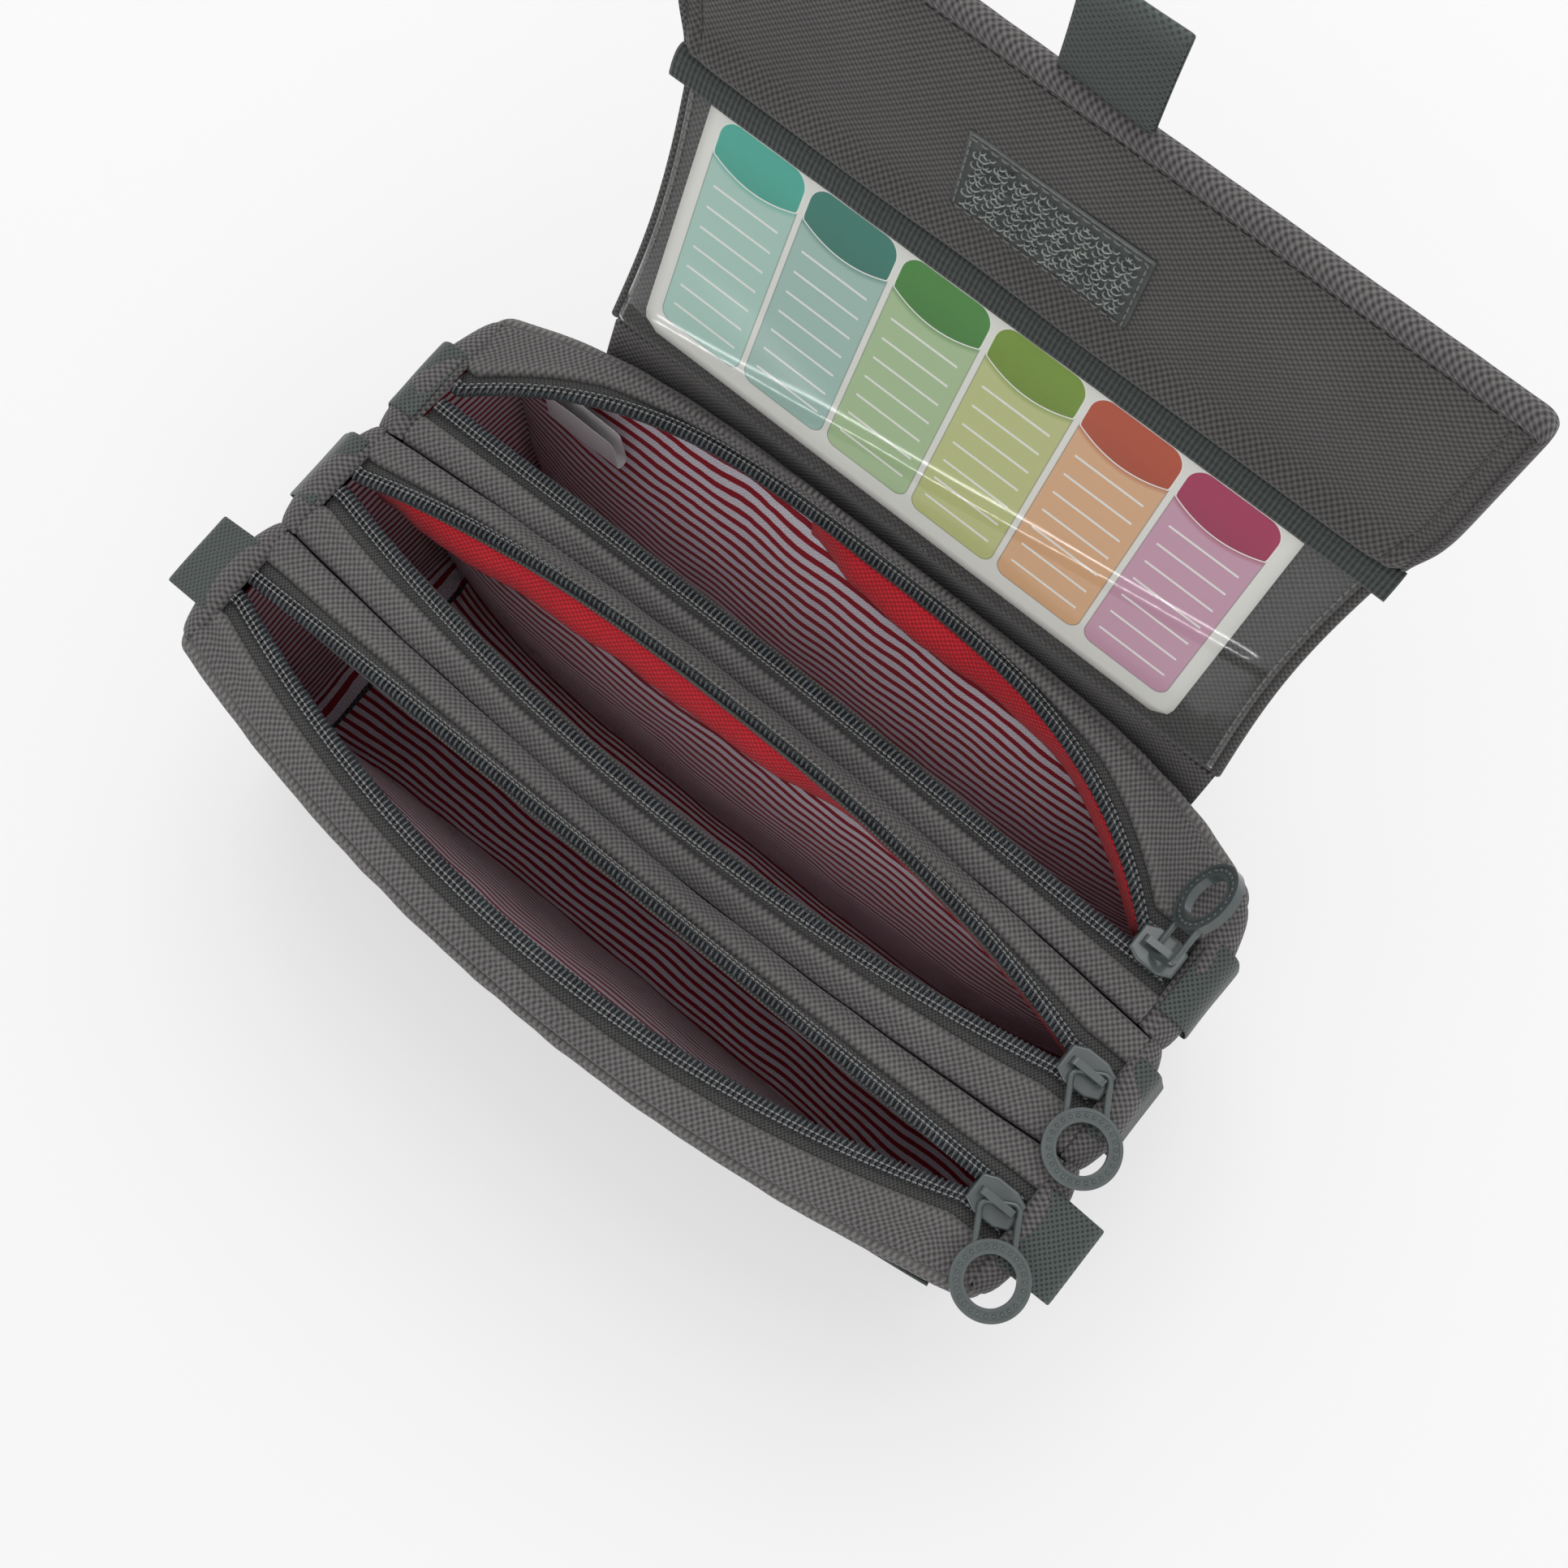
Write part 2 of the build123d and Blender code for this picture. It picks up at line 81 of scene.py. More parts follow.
def turned(vector, axis, degrees):
    angle = math.radians(degrees)
    axis = axis.normalized()
    return (vector * math.cos(angle) + axis.cross(vector) * math.sin(angle)
            + axis * axis.dot(vector) * (1 - math.cos(angle)))


def setCamera():
    yaw = math.radians(camera["turn"])
    right = Vector((math.cos(yaw), math.sin(yaw), 0))
    down = Vector((math.sin(yaw), -math.cos(yaw), 0))
    ahead = Vector((0, 0, -1))
    axes = [turned(v, down, camera["tiltY"]) for v in (right, down, ahead)]
    axes = [turned(v, right, camera["tiltX"]) for v in axes]
    right, down, ahead = axes
    lens = bpy.data.cameras.new("photoCamera")
    lens.sensor_width = 36.0
    lens.lens = 36.0 * camera["focal"] / camera["picture"]
    lens.clip_start = 0.01
    body = bpy.data.objects.new("photoCamera", lens)
    bpy.context.scene.collection.objects.link(body)
    place = Vector(camera["place"]) * toMetres
    for row in range(3):
        body.matrix_world[row][0] = right[row]
        body.matrix_world[row][1] = -down[row]
        body.matrix_world[row][2] = -ahead[row]
        body.matrix_world[row][3] = place[row]
    bpy.context.scene.camera = body


# Nodes

def addNode(tree, kind, settings=None, output=0):
    # Adds one node and gives back one of its outputs. Settings go by the name or number of an
    # input, or by an attribute of the node, and the output of another node is linked. By
    # number a Mix has its share at 0 and its colours at 6 and 7, and a MapRange its value at 0,
    # the range it comes from at 1 and 2 and the one it goes to at 3 and 4.
    node = tree.nodes.new("ShaderNode" + kind)
    for key, value in (settings or {}).items():
        if not isinstance(key, int) and key not in node.inputs:
            setattr(node, key, value)
        elif isinstance(value, bpy.types.NodeSocket):
            tree.links.new(value, node.inputs[key])
        else:
            node.inputs[key].default_value = value
    return node.outputs[output] if node.outputs else node


def addRow(tree, kind, value, *steps):
    # Nodes of one kind in a row, each fed by the one before. A step is an operation and what
    # goes into the other inputs.
    for operation, *others in steps:
        value = addNode(tree, kind, {"operation": operation, **dict(enumerate([value, *others]))})
    return value


def withNodes(owner, outputKind, build, *details):
    # gives a material or the world the nodes that build adds
    owner.use_nodes = True
    tree = owner.node_tree
    tree.nodes.clear()
    addNode(tree, outputKind, {"Surface": build(tree, *details)})
    return owner


def newMaterial(name, build, *details):
    return withNodes(bpy.data.materials.new(name), "OutputMaterial", build, *details)


# Finishes. A noise's scale is how many patches it has to a millimetre: cloth is measured in
# millimetres, and everything else in metres.

def wovenCloth(tree, finish):
    # Woven cloth: threads rise and dip where they cross, so light catches the tops
    # and the gaps between them stay dark.
    onCloth = addNode(tree, "UVMap", {"uv_map": "clothUv"})
    stray = addNode(tree, "TexNoise", {"Vector": onCloth, "Scale": 0.35, "Detail": 2.0}, "Color")
    shift = addRow(tree, "VectorMath", stray, ("MULTIPLY_ADD", (0.35, 0.35, 0.0), onCloth))
    along = addNode(tree, "SeparateXYZ", {"Vector": shift}, "X")
    across = along.node.outputs["Y"]
    turnAlong, turnAcross = [math.pi * 2 / pitch for pitch in finish["pitch"]]
    waveAlong = addRow(tree, "Math", along, ("MULTIPLY", turnAlong), ("SINE",))
    waveAcross = addRow(tree, "Math", across, ("MULTIPLY", turnAcross), ("SINE",))
    weave = finish.get("weave", "plain")
    if weave == "plain":        # over one, under one
        height = addRow(tree, "Math", waveAlong, ("MULTIPLY", waveAcross))
    elif weave == "net":        # an even net with a dark hole between each four threads
        height = addRow(tree, "Math", waveAlong, ("MULTIPLY", waveAcross), ("MAXIMUM", 0.0),
                        ("MULTIPLY_ADD", -2.6, 1.0))
    elif weave == "rib":        # thick cross threads, as in satin and grosgrain
        thin = addRow(tree, "Math", waveAcross, ("MULTIPLY", 0.25))
        height = addRow(tree, "Math", waveAlong, ("MULTIPLY_ADD", 0.75, thin))
    else:                       # twill, its ridges run aslant
        slant = addRow(tree, "Math", across, ("MULTIPLY", turnAcross))
        height = addRow(tree, "Math", along, ("MULTIPLY", turnAlong), ("ADD", slant), ("SINE",))
    level = addRow(tree, "Math", height, ("MULTIPLY_ADD", 0.5, 0.5))
    fibre = addNode(tree, "TexNoise", {"Vector": onCloth, "Scale": 2.4, "Detail": 3.0})
    patches = addNode(tree, "TexNoise", {"Vector": onCloth, "Scale": 0.045, "Detail": 4.0})

    def yarn(dyed):
        gap, thread = hexColour(dyed["gap"]), hexColour(dyed["thread"])
        return addNode(tree, "Mix", {"data_type": "RGBA", 0: level, 6: gap, 7: thread}, 2)

    tone = yarn(finish)
    if "stripe" in finish:      # coloured warp threads at an even spacing
        stripe = finish["stripe"]
        sway = addNode(tree, "TexNoise", {"Vector": onCloth, "Scale": 0.03, "Detail": 1.0})
        inside = addRow(tree, "Math", sway, ("MULTIPLY_ADD", stripe["sway"], across),
                        ("DIVIDE", stripe["pitch"]), ("FRACT",),
                        ("LESS_THAN", stripe["width"] / stripe["pitch"]))
        tone = addNode(tree, "Mix", {"data_type": "RGBA", 0: inside, 6: tone, 7: yarn(stripe)}, 2)
    uneven = finish["uneven"]
    speck = addNode(tree, "MapRange", {0: fibre, 1: 0.25, 2: 0.75, 3: 0.82, 4: 1.14})
    shade = addNode(tree, "MapRange", {0: patches, 1: 0.3, 2: 0.7, 3: 1 - uneven, 4: 1 + uneven / 2})
    shade = addRow(tree, "Math", shade, ("MULTIPLY", speck))
    tone = addNode(tree, "Mix", {"data_type": "RGBA", "blend_type": "MULTIPLY", 0: 1.0, 6: tone, 7: shade}, 2)
    worn = addNode(tree, "Attribute", {"attribute_name": "wear"}, "Fac")
    worn = addRow(tree, "Math", fibre, ("MULTIPLY", 0.9), ("MULTIPLY", worn))
    tone = addNode(tree, "Mix", {"data_type": "RGBA", 0: worn, 6: tone, 7: hexColour(finish["worn"])}, 2)
    relief = addRow(tree, "Math", fibre, ("MULTIPLY_ADD", 0.6, height))
    bump = addNode(tree, "Bump", {"Strength": finish["bump"], "Distance": finish["relief"] * toMetres,
                                  "Height": relief})
    return addNode(tree, "BsdfPrincipled",
                   {"Base Color": tone, "Normal": bump, "Roughness": finish["roughness"], "IOR": 1.5,
                    "Specular IOR Level": finish.get("gloss", 0.3), "Sheen Weight": finish["sheen"],
                    "Sheen Roughness": 0.45})


# 600 denier polyester, woven of thick threads about 0.35 mm apart. The eye sees a
# grid of dull round dots, drawn at 0.75 mm so that it still shows from arm's length.
bodyOxford = newMaterial("greyOxfordPolyester", wovenCloth, {
    "gap": "#2f2d2d", "thread": "#737070", "worn": "#8d8a88", "pitch": (1.5, 1.5),
    "bump": 0.55, "relief": 0.25, "roughness": 0.86, "sheen": 0.18, "uneven": 0.1})
# The same cloth, drawn darker as painted shade, used on the inside of the flap.
shadeDarkenedOxford = newMaterial("shadeDarkenedOxfordPolyester", wovenCloth, {
    "gap": "#2b2a29", "thread": "#656362", "worn": "#84817e", "pitch": (1.5, 1.5),
    "bump": 0.55, "relief": 0.25, "roughness": 0.86, "sheen": 0.16, "uneven": 0.1})
# Polypropylene webbing: an even net of flat threads with dark holes, and a faint
# greenish gloss.
webbing = newMaterial("polypropyleneWebbing", wovenCloth, {
    "gap": "#0d100f", "thread": "#414946", "worn": "#5f6865", "pitch": (1.5, 1.35), "weave": "net",
    "bump": 0.5, "relief": 0.2, "roughness": 0.6, "sheen": 0.15, "uneven": 0.08, "gloss": 0.45})
# Grosgrain ribbon: fine ridges across its width.
grosgrain = newMaterial("grosgrainRibbon", wovenCloth, {
    "gap": "#232827", "thread": "#4c5351", "worn": "#5c6462", "pitch": (1.1, 1.4), "weave": "rib",
    "bump": 0.7, "relief": 0.25, "roughness": 0.7, "sheen": 0.15, "uneven": 0.06})
# Warp-knitted zip tape: fine dark loops in rows.
tapeKnit = newMaterial("knittedZipTape", wovenCloth, {
    "gap": "#2e2e2e", "thread": "#5e5d5c", "worn": "#757371", "pitch": (1.2, 0.9),
    "bump": 0.7, "relief": 0.2, "roughness": 0.85, "sheen": 0.12, "uneven": 0.05})
# Polyester taffeta lining: smooth and thin, a pale lilac with dark red warp stripes.
liningTaffeta = newMaterial("stripedTaffetaLining", wovenCloth, {
    "gap": "#cdc6d2", "thread": "#ece6f0", "worn": "#f1edf4", "pitch": (0.9, 0.9),
    "stripe": {"pitch": 2.9, "width": 1.3, "sway": 5.0, "gap": "#7d0d1c", "thread": "#ab1b2c"},
    "bump": 0.25, "relief": 0.1, "roughness": 0.7, "sheen": 0.2, "uneven": 0.06})
# Red polyester canvas: a plain weave of soft round threads, deep red in its gaps.
redCanvas = newMaterial("redPolyesterCanvas", wovenCloth, {
    "gap": "#9c0f1c", "thread": "#f02f3d", "worn": "#f0505c", "pitch": (1.5, 1.5),
    "bump": 0.6, "relief": 0.25, "roughness": 0.8, "sheen": 0.12, "uneven": 0.08})
# Woven satin ribbon: long floats that shine along the ribbon.
satin = newMaterial("whiteSatinRibbon", wovenCloth, {
    "gap": "#d5d2d3", "thread": "#f1eff0", "worn": "#ffffff", "pitch": (0.6, 1.6), "weave": "rib",
    "bump": 0.2, "relief": 0.08, "roughness": 0.35, "sheen": 0.3, "uneven": 0.04, "gloss": 0.6})
# Loop side of a touch fastener: a brushed pile of soft nylon loops.
loopPile = newMaterial("brushedNylonLoops", wovenCloth, {
    "gap": "#3a3a39", "thread": "#6a6968", "worn": "#7d7b79", "pitch": (1.6, 1.3), "weave": "twill",
    "bump": 1.0, "relief": 0.7, "roughness": 0.95, "sheen": 0.6, "uneven": 0.15})


def twistedThread(tree, colour):
    # Twisted polyester sewing thread: a soft gloss with fine slanting twist, its grooves painted darker as
    # shade.
    place = addNode(tree, "TexCoord", {}, "Object")
    twist = addNode(tree, "TexWave", {"Vector": place, "Scale": 0.9 / toMetres, "Distortion": 2.0,
                                      "bands_direction": "DIAGONAL"}, 1)
    # painted shade: the grooves of the twist drawn at 0.7 of the thread's colour
    twistShadeColour = [c * 0.7 for c in hexColour(colour)[:3]] + [1.0]
    tone = addNode(tree, "Mix", {"data_type": "RGBA", 0: twist, 6: twistShadeColour, 7: hexColour(colour)}, 2)
    bump = addNode(tree, "Bump", {"Strength": 0.4, "Distance": 0.1 * toMetres, "Height": twist})
    return addNode(tree, "BsdfPrincipled", {"Base Color": tone, "Normal": bump, "Roughness": 0.55,
                                            "Sheen Weight": 0.2})


def monofilament(tree):
    # Nylon monofilament, drawn round and heat-set: smooth and slightly translucent,
    # so it takes long soft highlights. IOR of nylon 6 is 1.53.
    place = addNode(tree, "TexCoord", {}, "Object")
    cloud = addNode(tree, "TexNoise", {"Vector": place, "Scale": 0.16 / toMetres, "Detail": 3.0})
    tone = addNode(tree, "Mix", {"data_type": "RGBA", 0: cloud, 6: hexColour("#282b2e"),
                                 7: hexColour("#50565b")}, 2)
    bump = addNode(tree, "Bump", {"Strength": 0.15, "Distance": 0.1 * toMetres, "Height": cloud})
    return addNode(tree, "BsdfPrincipled",
                   {"Base Color": tone, "Normal": bump, "Roughness": 0.26, "IOR": 1.53,
                    "Subsurface Weight": 0.06, "Subsurface Scale": 0.5 * toMetres})


def sprayedEnamel(tree):
    # Die-cast zinc with sprayed enamel: an even dark gloss with faint orange peel,
    # rubbed thin where the parts knock together.
    place = addNode(tree, "TexCoord", {}, "Object")
    peel = addNode(tree, "TexNoise", {"Vector": place, "Scale": 1.5 / toMetres, "Detail": 2.0})
    mottle = addNode(tree, "TexNoise", {"Vector": place, "Scale": 0.22 / toMetres, "Detail": 5.0})
    rub = addNode(tree, "TexNoise", {"Vector": place, "Scale": 0.7 / toMetres, "Detail": 6.0,
                                     "Roughness": 0.7})
    rub = addNode(tree, "MapRange", {0: rub, 1: 0.68, 2: 0.74})
    tone = addNode(tree, "Mix", {"data_type": "RGBA", 0: mottle, 6: hexColour("#343b3b"),
                                 7: hexColour("#515959")}, 2)
    tone = addNode(tree, "Mix", {"data_type": "RGBA", 0: rub, 6: tone, 7: hexColour("#7b8381")}, 2)
    bump = addNode(tree, "Bump", {"Strength": 0.25, "Distance": 0.05 * toMetres, "Height": peel})
    return addNode(tree, "BsdfPrincipled",
                   {"Base Color": tone, "Normal": bump, "Roughness": 0.3, "IOR": 1.5,
                    "Coat Weight": 0.6, "Coat Roughness": 0.1})


def clearSheet(tree):
    # Soft PVC sheet, calendered: clear and glossy, a little duller in places. The slack
    # of the sheet draws its reflections out into a few smooth streaks.
    onCloth = addNode(tree, "UVMap", {"uv_map": "clothUv"})
    stretched = addNode(tree, "Mapping", {"Vector": onCloth, "Scale": (0.012, 0.05, 1.0),
                                          "Rotation": (0, 0, 0.5)})
    wave = addNode(tree, "TexNoise", {"Vector": stretched, "Scale": 1.0, "Detail": 1.0})
    smear = addNode(tree, "MapRange", {0: wave, 1: 0.35, 2: 0.7, 3: 0.05, 4: 0.16})
    seeThrough = addNode(tree, "BsdfTransparent", {"Color": [0.97, 0.975, 0.975, 1.0]})
    shine = addNode(tree, "BsdfGlossy", {"Color": [1.0, 1.0, 1.0, 1.0], "Roughness": smear})
    facing = addNode(tree, "LayerWeight", {"Blend": 0.5}, "Facing")
    # more shine at a low angle
    edge = addRow(tree, "Math", facing, ("POWER", 5.0), ("MULTIPLY_ADD", 0.95, 0.025))
    return addNode(tree, "MixShader", {0: edge, 1: seeThrough, 2: shine})


def hookFilament(tree, low, high):
    # Stiff nylon hooks on a clear woven base: glassy threads with bright tips.
    place = addNode(tree, "TexCoord", {}, "Object")
    cloud = addNode(tree, "TexNoise", {"Vector": place, "Scale": 0.3 / toMetres, "Detail": 3.0})
    tone = addNode(tree, "Mix", {"data_type": "RGBA", 0: cloud, 6: hexColour(low), 7: hexColour(high)}, 2)
    return addNode(tree, "BsdfPrincipled", {"Base Color": tone, "Roughness": 0.25, "IOR": 1.53,
                                            "Alpha": 0.85})


greyThread = newMaterial("greyPolyesterThread", twistedThread, "#7d7b79")
darkThread = newMaterial("darkPolyesterThread", twistedThread, "#3f3d3c")
paleThread = newMaterial("palePolyesterThread", twistedThread, "#9b9a98")
coilNylon = newMaterial("nylonMonofilament", monofilament)
enamel = newMaterial("sprayEnamelledZinc", sprayedEnamel)
pvcFilm = newMaterial("clearPvcFilm", clearSheet)
hookNylon = newMaterial("clearNylonHooks", hookFilament, "#6d7370", "#c6ccc8")
hookWeave = newMaterial("clearNylonWeave", hookFilament, "#454a48", "#686e6b")


# Meshes

def makePiece(name, points, faces, material, uvs=None, wear=None, smooth=True):
    mesh = bpy.data.meshes.new(name)
    mesh.from_pydata([[c * toMetres for c in p] for p in points], [], faces)
    if uvs is not None:
        layer = mesh.uv_layers.new(name="clothUv")
        for loop in mesh.loops:
            layer.data[loop.index].uv = uvs[loop.vertex_index]
    if wear is not None:
        mesh.attributes.new("wear", "FLOAT", "POINT").data.foreach_set("value", wear)
    mesh.polygons.foreach_set("use_smooth", [smooth] * len(mesh.polygons))
    mesh.materials.append(material)
    piece = bpy.data.objects.new(name, mesh)
    bpy.context.scene.collection.objects.link(piece)
    return piece


def gridPiece(name, rows, material, uvs=None, thickness=0.0, wear=None, soften=0, grow=-1, flip=False):
    # rows of points, sewn into one sheet of cloth, thickened on the side away from grow.
    # Flip turns every row round, which turns the sheet's face to the other side.
    if flip:
        rows, uvs, wear = [[row[::-1] for row in grid] if grid else None for grid in (rows, uvs, wear)]
    width = len(rows[0])
    faces = [(r * width + c, r * width + c + 1, (r + 1) * width + c + 1, (r + 1) * width + c)
             for r in range(len(rows) - 1) for c in range(width - 1)]
    flatUvs = flattened(uvs) if uvs else measured(rows)
    piece = makePiece(name, flattened(rows), faces, material, flatUvs, flattened(wear) if wear else None)
    if thickness:
        thicken(piece, thickness, grow)
    if soften:
        smooth = piece.modifiers.new("soften", "SUBSURF")
        smooth.levels = smooth.render_levels = soften
    return piece


def flattened(rows):
    return [value for row in rows for value in row]


def thicken(piece, thickness, grow):
    solid = piece.modifiers.new("thickness", "SOLIDIFY")
    solid.thickness, solid.offset = thickness * toMetres, grow


def measured(rows):
    # millimetres along each row and down the rows, so that a weave keeps its real size
    uvs, down = [], [0.0]
    for upper, lower in zip(rows, rows[1:]):
        middle = len(upper) // 2
        down.append(down[-1] + math.dist(upper[middle], lower[middle]))
    for row, v in zip(rows, down):
        u = 0.0
        uvs.append((u, v))
        for a, b in zip(row, row[1:]):
            u += math.dist(a, b)
            uvs.append((u, v))
    return uvs


def ripple(x, y, z, size, seed=0.0):
    # soft unevenness between -1 and 1, size is the length of a ripple
    return noise.noise(Vector((x / size + seed, y / size - seed, z / size + 2 * seed)))


def tubeMesh(line, radius, sides, points, faces):
    # adds a round thread along a line to the lists of points and faces
    start = len(points)
    side = None
    for i, here in enumerate(line):
        ahead = Vector(line[min(i + 1, len(line) - 1)]) - Vector(line[max(i - 1, 0)])
        ahead.normalize()
        if side is None:
            side = ahead.cross(Vector((0.13, 0.31, 0.94))).normalized()
        side = (side - ahead * side.dot(ahead)).normalized()
        up = ahead.cross(side)
        for s in range(sides):
            a = 2 * math.pi * s / sides
            points.append(Vector(here) + side * (radius * math.cos(a)) + up * (radius * math.sin(a)))
    for i in range(len(line) - 1):
        for s in range(sides):
            a, b = start + i * sides + s, start + i * sides + (s + 1) % sides
            faces.append((a, b, b + sides, a + sides))
    faces.append(tuple(start + s for s in range(sides))[::-1])
    faces.append(tuple(start + (len(line) - 1) * sides + s for s in range(sides)))


def stitches(name, line, material, lift, pitch=2.6, length=1.9, radius=0.28):
    # a row of lockstitches along a line, each a short thread that dips at both ends
    points, faces = [], []
    lengths = [0.0]
    for a, b in zip(line, line[1:]):
        lengths.append(lengths[-1] + math.dist(a, b))

    def at(s):
        s = min(max(s, 0.0), lengths[-1])
        i = 0
        while i < len(lengths) - 2 and lengths[i + 1] < s:
            i += 1
        t = (s - lengths[i]) / max(lengths[i + 1] - lengths[i], 1e-6)
        return Vector(line[i]).lerp(Vector(line[i + 1]), t)

    lift = Vector(lift)
    count = int(lengths[-1] / pitch)
    for k in range(count):
        s = (k + 0.5) * lengths[-1] / count
        steps = [(-0.5, -0.55), (-0.3, 0.35), (0.0, 0.6), (0.3, 0.35), (0.5, -0.55)]
        path = [at(s + length * f) + lift * (radius * h) for f, h in steps]
        tubeMesh(path, radius, 5, points, faces)
    return makePiece(name, points, faces, material)


def sewn(piece, body, *nodes):
    # rides on a body and stands for these nodes of the frame
    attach(piece, body)
    if nodes:
        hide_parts(*nodes)
    return piece


def clothOn(body, node, piece):
    # cloth that stands for a node and lies where it does
    sewn(piece, body, node)


# Shape of the body, the same as the frame's

case = {
    "length": 220.0, "height": 92.0, "pouchDepth": 32.0, "bottomCorner": 9.0, "topCorner": 3.0,
    "leans": (-0.09, -0.03, -0.09, 0.06), "bellies": (-0.47, -0.17, 0.16, 0.41),
    "tapers": (0, 0, 0.05, 0.16), "roundness": (2, 2, 2, 4), "dip": 4.0,
    "edgeRoll": 3.2,         # how far the outer panels turn over at their edges
    "puff": 2.4,             # how far the ends of the pouches swell
    "crumple": 0.7,
    "folds": 0.9,            # long soft folds in the strips beside the zips
}
mouths = {
    "places": (-1.03, -0.03, 0.88), "coilOffset": 2.1, "leftMargin": 2.5, "endGap": 0.3,
    "sliderGap": 0.5, "sliderHalf": 5.5, "seamInset": 1.05,
    "bellies": ((-0.56, 0.0), (-0.34, 0.34), (0.0, 0.84)),
    "rises": ((0.08, 0.19), (0.19, 0.19), (0.19, 0.03)),
    "roundness": ((2.0, 2.0), (2.0, 2.5), (2.0, 3.2)),
    "tapeReach": 6.0,
}


def halfLength(seam):
    return case["length"] / 2 - case["tapers"][seam] * case["pouchDepth"]


def seamY(seam, x, z):
    # seams are counted from the front, 0 to 3: front panel, two dividers, back panel
    rise = max(z, 0) / case["height"]
    belly = 1 - min(abs(x) / halfLength(seam), 1) ** case["roundness"][seam]
    swell = case["bellies"][seam] * rise ** 1.5 * belly
    return case["pouchDepth"] * (seam - 1.5 + case["leans"][seam] * rise + swell)


def endAt(seam, z, inset=0.0):
    # half length of the outline at z, its corners rounded
    low, high = case["bottomCorner"], case["height"] - case["topCorner"]
    if z < low:
        radius, drop = low, low - z
    elif z > high:
        radius, drop = case["topCorner"], z - high
    else:
        return halfLength(seam) - inset
    return halfLength(seam) - radius + math.sqrt(max((radius - inset) ** 2 - drop ** 2, 0))


def zipY(pouch):
    return mouths["places"][pouch] * case["pouchDepth"]


def sideNames(pouch, side):
    # how the names of a pouch's front or rear pieces and nodes start
    label = ("Front", "Rear")[side]
    return pouchNames[pouch] + label, f"{pouchNames[pouch]}_{label.lower()}_"


def zipEnd(pouch):
    return min(halfLength(pouch), halfLength(pouch + 1)) - case["topCorner"] - mouths["endGap"]


def sliderX(pouch):
    return zipEnd(pouch) - mouths["sliderGap"] - mouths["sliderHalf"]


def openness(pouch, side, x):
    # 0 where the zip is closed, 1 where its mouth is widest
    left, right = -zipEnd(pouch) + mouths["leftMargin"], sliderX(pouch) - mouths["sliderHalf"]
    share = abs((x - (left + right) / 2) / ((right - left) / 2))
    return 1 - min(share, 1) ** mouths["roundness"][pouch][side]


def edgeFrame(pouch, side, x):
    # at x: the middle of the coil, the ways across and out of the tape, how much of the tape
    # shows, and how far the seam is
    away = 1 if side else -1
    opened = openness(pouch, side, x)
    seam = pouch + side
    coil = Vector((x, zipY(pouch) + away * mouths["coilOffset"]
                   + mouths["bellies"][pouch][side] * case["pouchDepth"] * opened,
                   case["height"] + mouths["rises"][pouch][side] * case["pouchDepth"] * opened))
    inner = seam in (1, 2)
    dip = case["dip"] * (1 - (x / halfLength(seam)) ** 2) if inner else 0
    edge = Vector((x, seamY(seam, x, case["height"]) - away * mouths["seamInset"], case["height"] - dip))
    across = edge - coil
    reach = across.length
    across.normalize()
    out = Vector((0, -across.z * away, across.y * away))
    tapeEdge = min(mouths["tapeReach"], 0.5 * reach)
    return coil, across, out, tapeEdge, reach


def spread(low, high, steps):
    return [low + (high - low) * i / steps for i in range(steps + 1)]


def alongCase(half, steps):
    # places along the case, closer together towards the ends
    return [half * math.sin(math.pi / 2 * (2 * i / steps - 1)) for i in range(steps + 1)]


def inOutline(seam, x, z):
    # how far a point of a panel lies inside its outline
    half, height = halfLength(seam), case["height"]
    gaps = [half - abs(x), z, height - z]
    for corner, centreZ in ((case["bottomCorner"], case["bottomCorner"]),
                            (case["topCorner"], height - case["topCorner"])):
        dx = abs(x) - (half - corner)
        dz = (centreZ - z) if centreZ < height / 2 else (z - centreZ)
        if dx > 0 and dz > 0:
            gaps.append(corner - math.hypot(dx, dz))
    return max(min(gaps), 0)


def turnOver(gap, roll):
    # how far the cloth has turned inwards at this distance from the edge
    if gap >= roll:
        return 0.0
    return roll - math.sqrt(roll ** 2 - (roll - gap) ** 2)


def outerPanel(seam, name, node):
    # front or back panel, its edges rolled over to the seams
    away = -1 if seam == 0 else 1
    heights = [0, 0.3, 0.8, 1.5, 2.4, 3.4, 5, 7, 9, 12, 16, 21, 27, 33, 39, 45, 51, 57, 63, 69, 74,
               78, 81.5, 84, 86, 87.6, 88.8, 89.8, 90.6, 91.2, 91.7, 92]

    def at(x, z):
        gap = inOutline(seam, x, z)
        swell = case["crumple"] * 1.3 * ripple(x, z, 0, 38, 3.1 * seam + 1) * min(gap / 12, 1)
        pucker = 0.35 * ripple(x, z, 0, 7, seam + 5) * max(0, 1 - gap / 14) * min(gap / 2, 1)
        return (x, seamY(seam, x, z) + away * (0.75 - turnOver(gap, case["edgeRoll"]) + swell + pucker), z)

    places = [[(x, z) for x in alongCase(endAt(seam, z), 120)] for z in heights]
    rows = [[at(x, z) for x, z in row] for row in places]
    wear = [[max(0, 1 - inOutline(seam, x, z) / 3) * 0.5 for x, z in row] for row in places]
    piece = gridPiece(name, rows, bodyOxford, places, thickness=1.0, wear=wear, flip=away > 0)
    clothOn("case", node, piece)


def divider(seam, name, node):
    # panel between two pouches, hidden but for its edges
    rows = [[(x, seamY(seam, x, z) + 0.2 * ripple(x, z, 0, 30, seam), z)
             for x in alongCase(endAt(seam, z) - 0.6, 60)]
            for z in (0.2, 3, 6, 9, 20, 35, 50, 65, 78, 85, 87.5)]
    piece = gridPiece(name, rows, bodyOxford, thickness=1.1, grow=0)
    clothOn("case", node, piece)


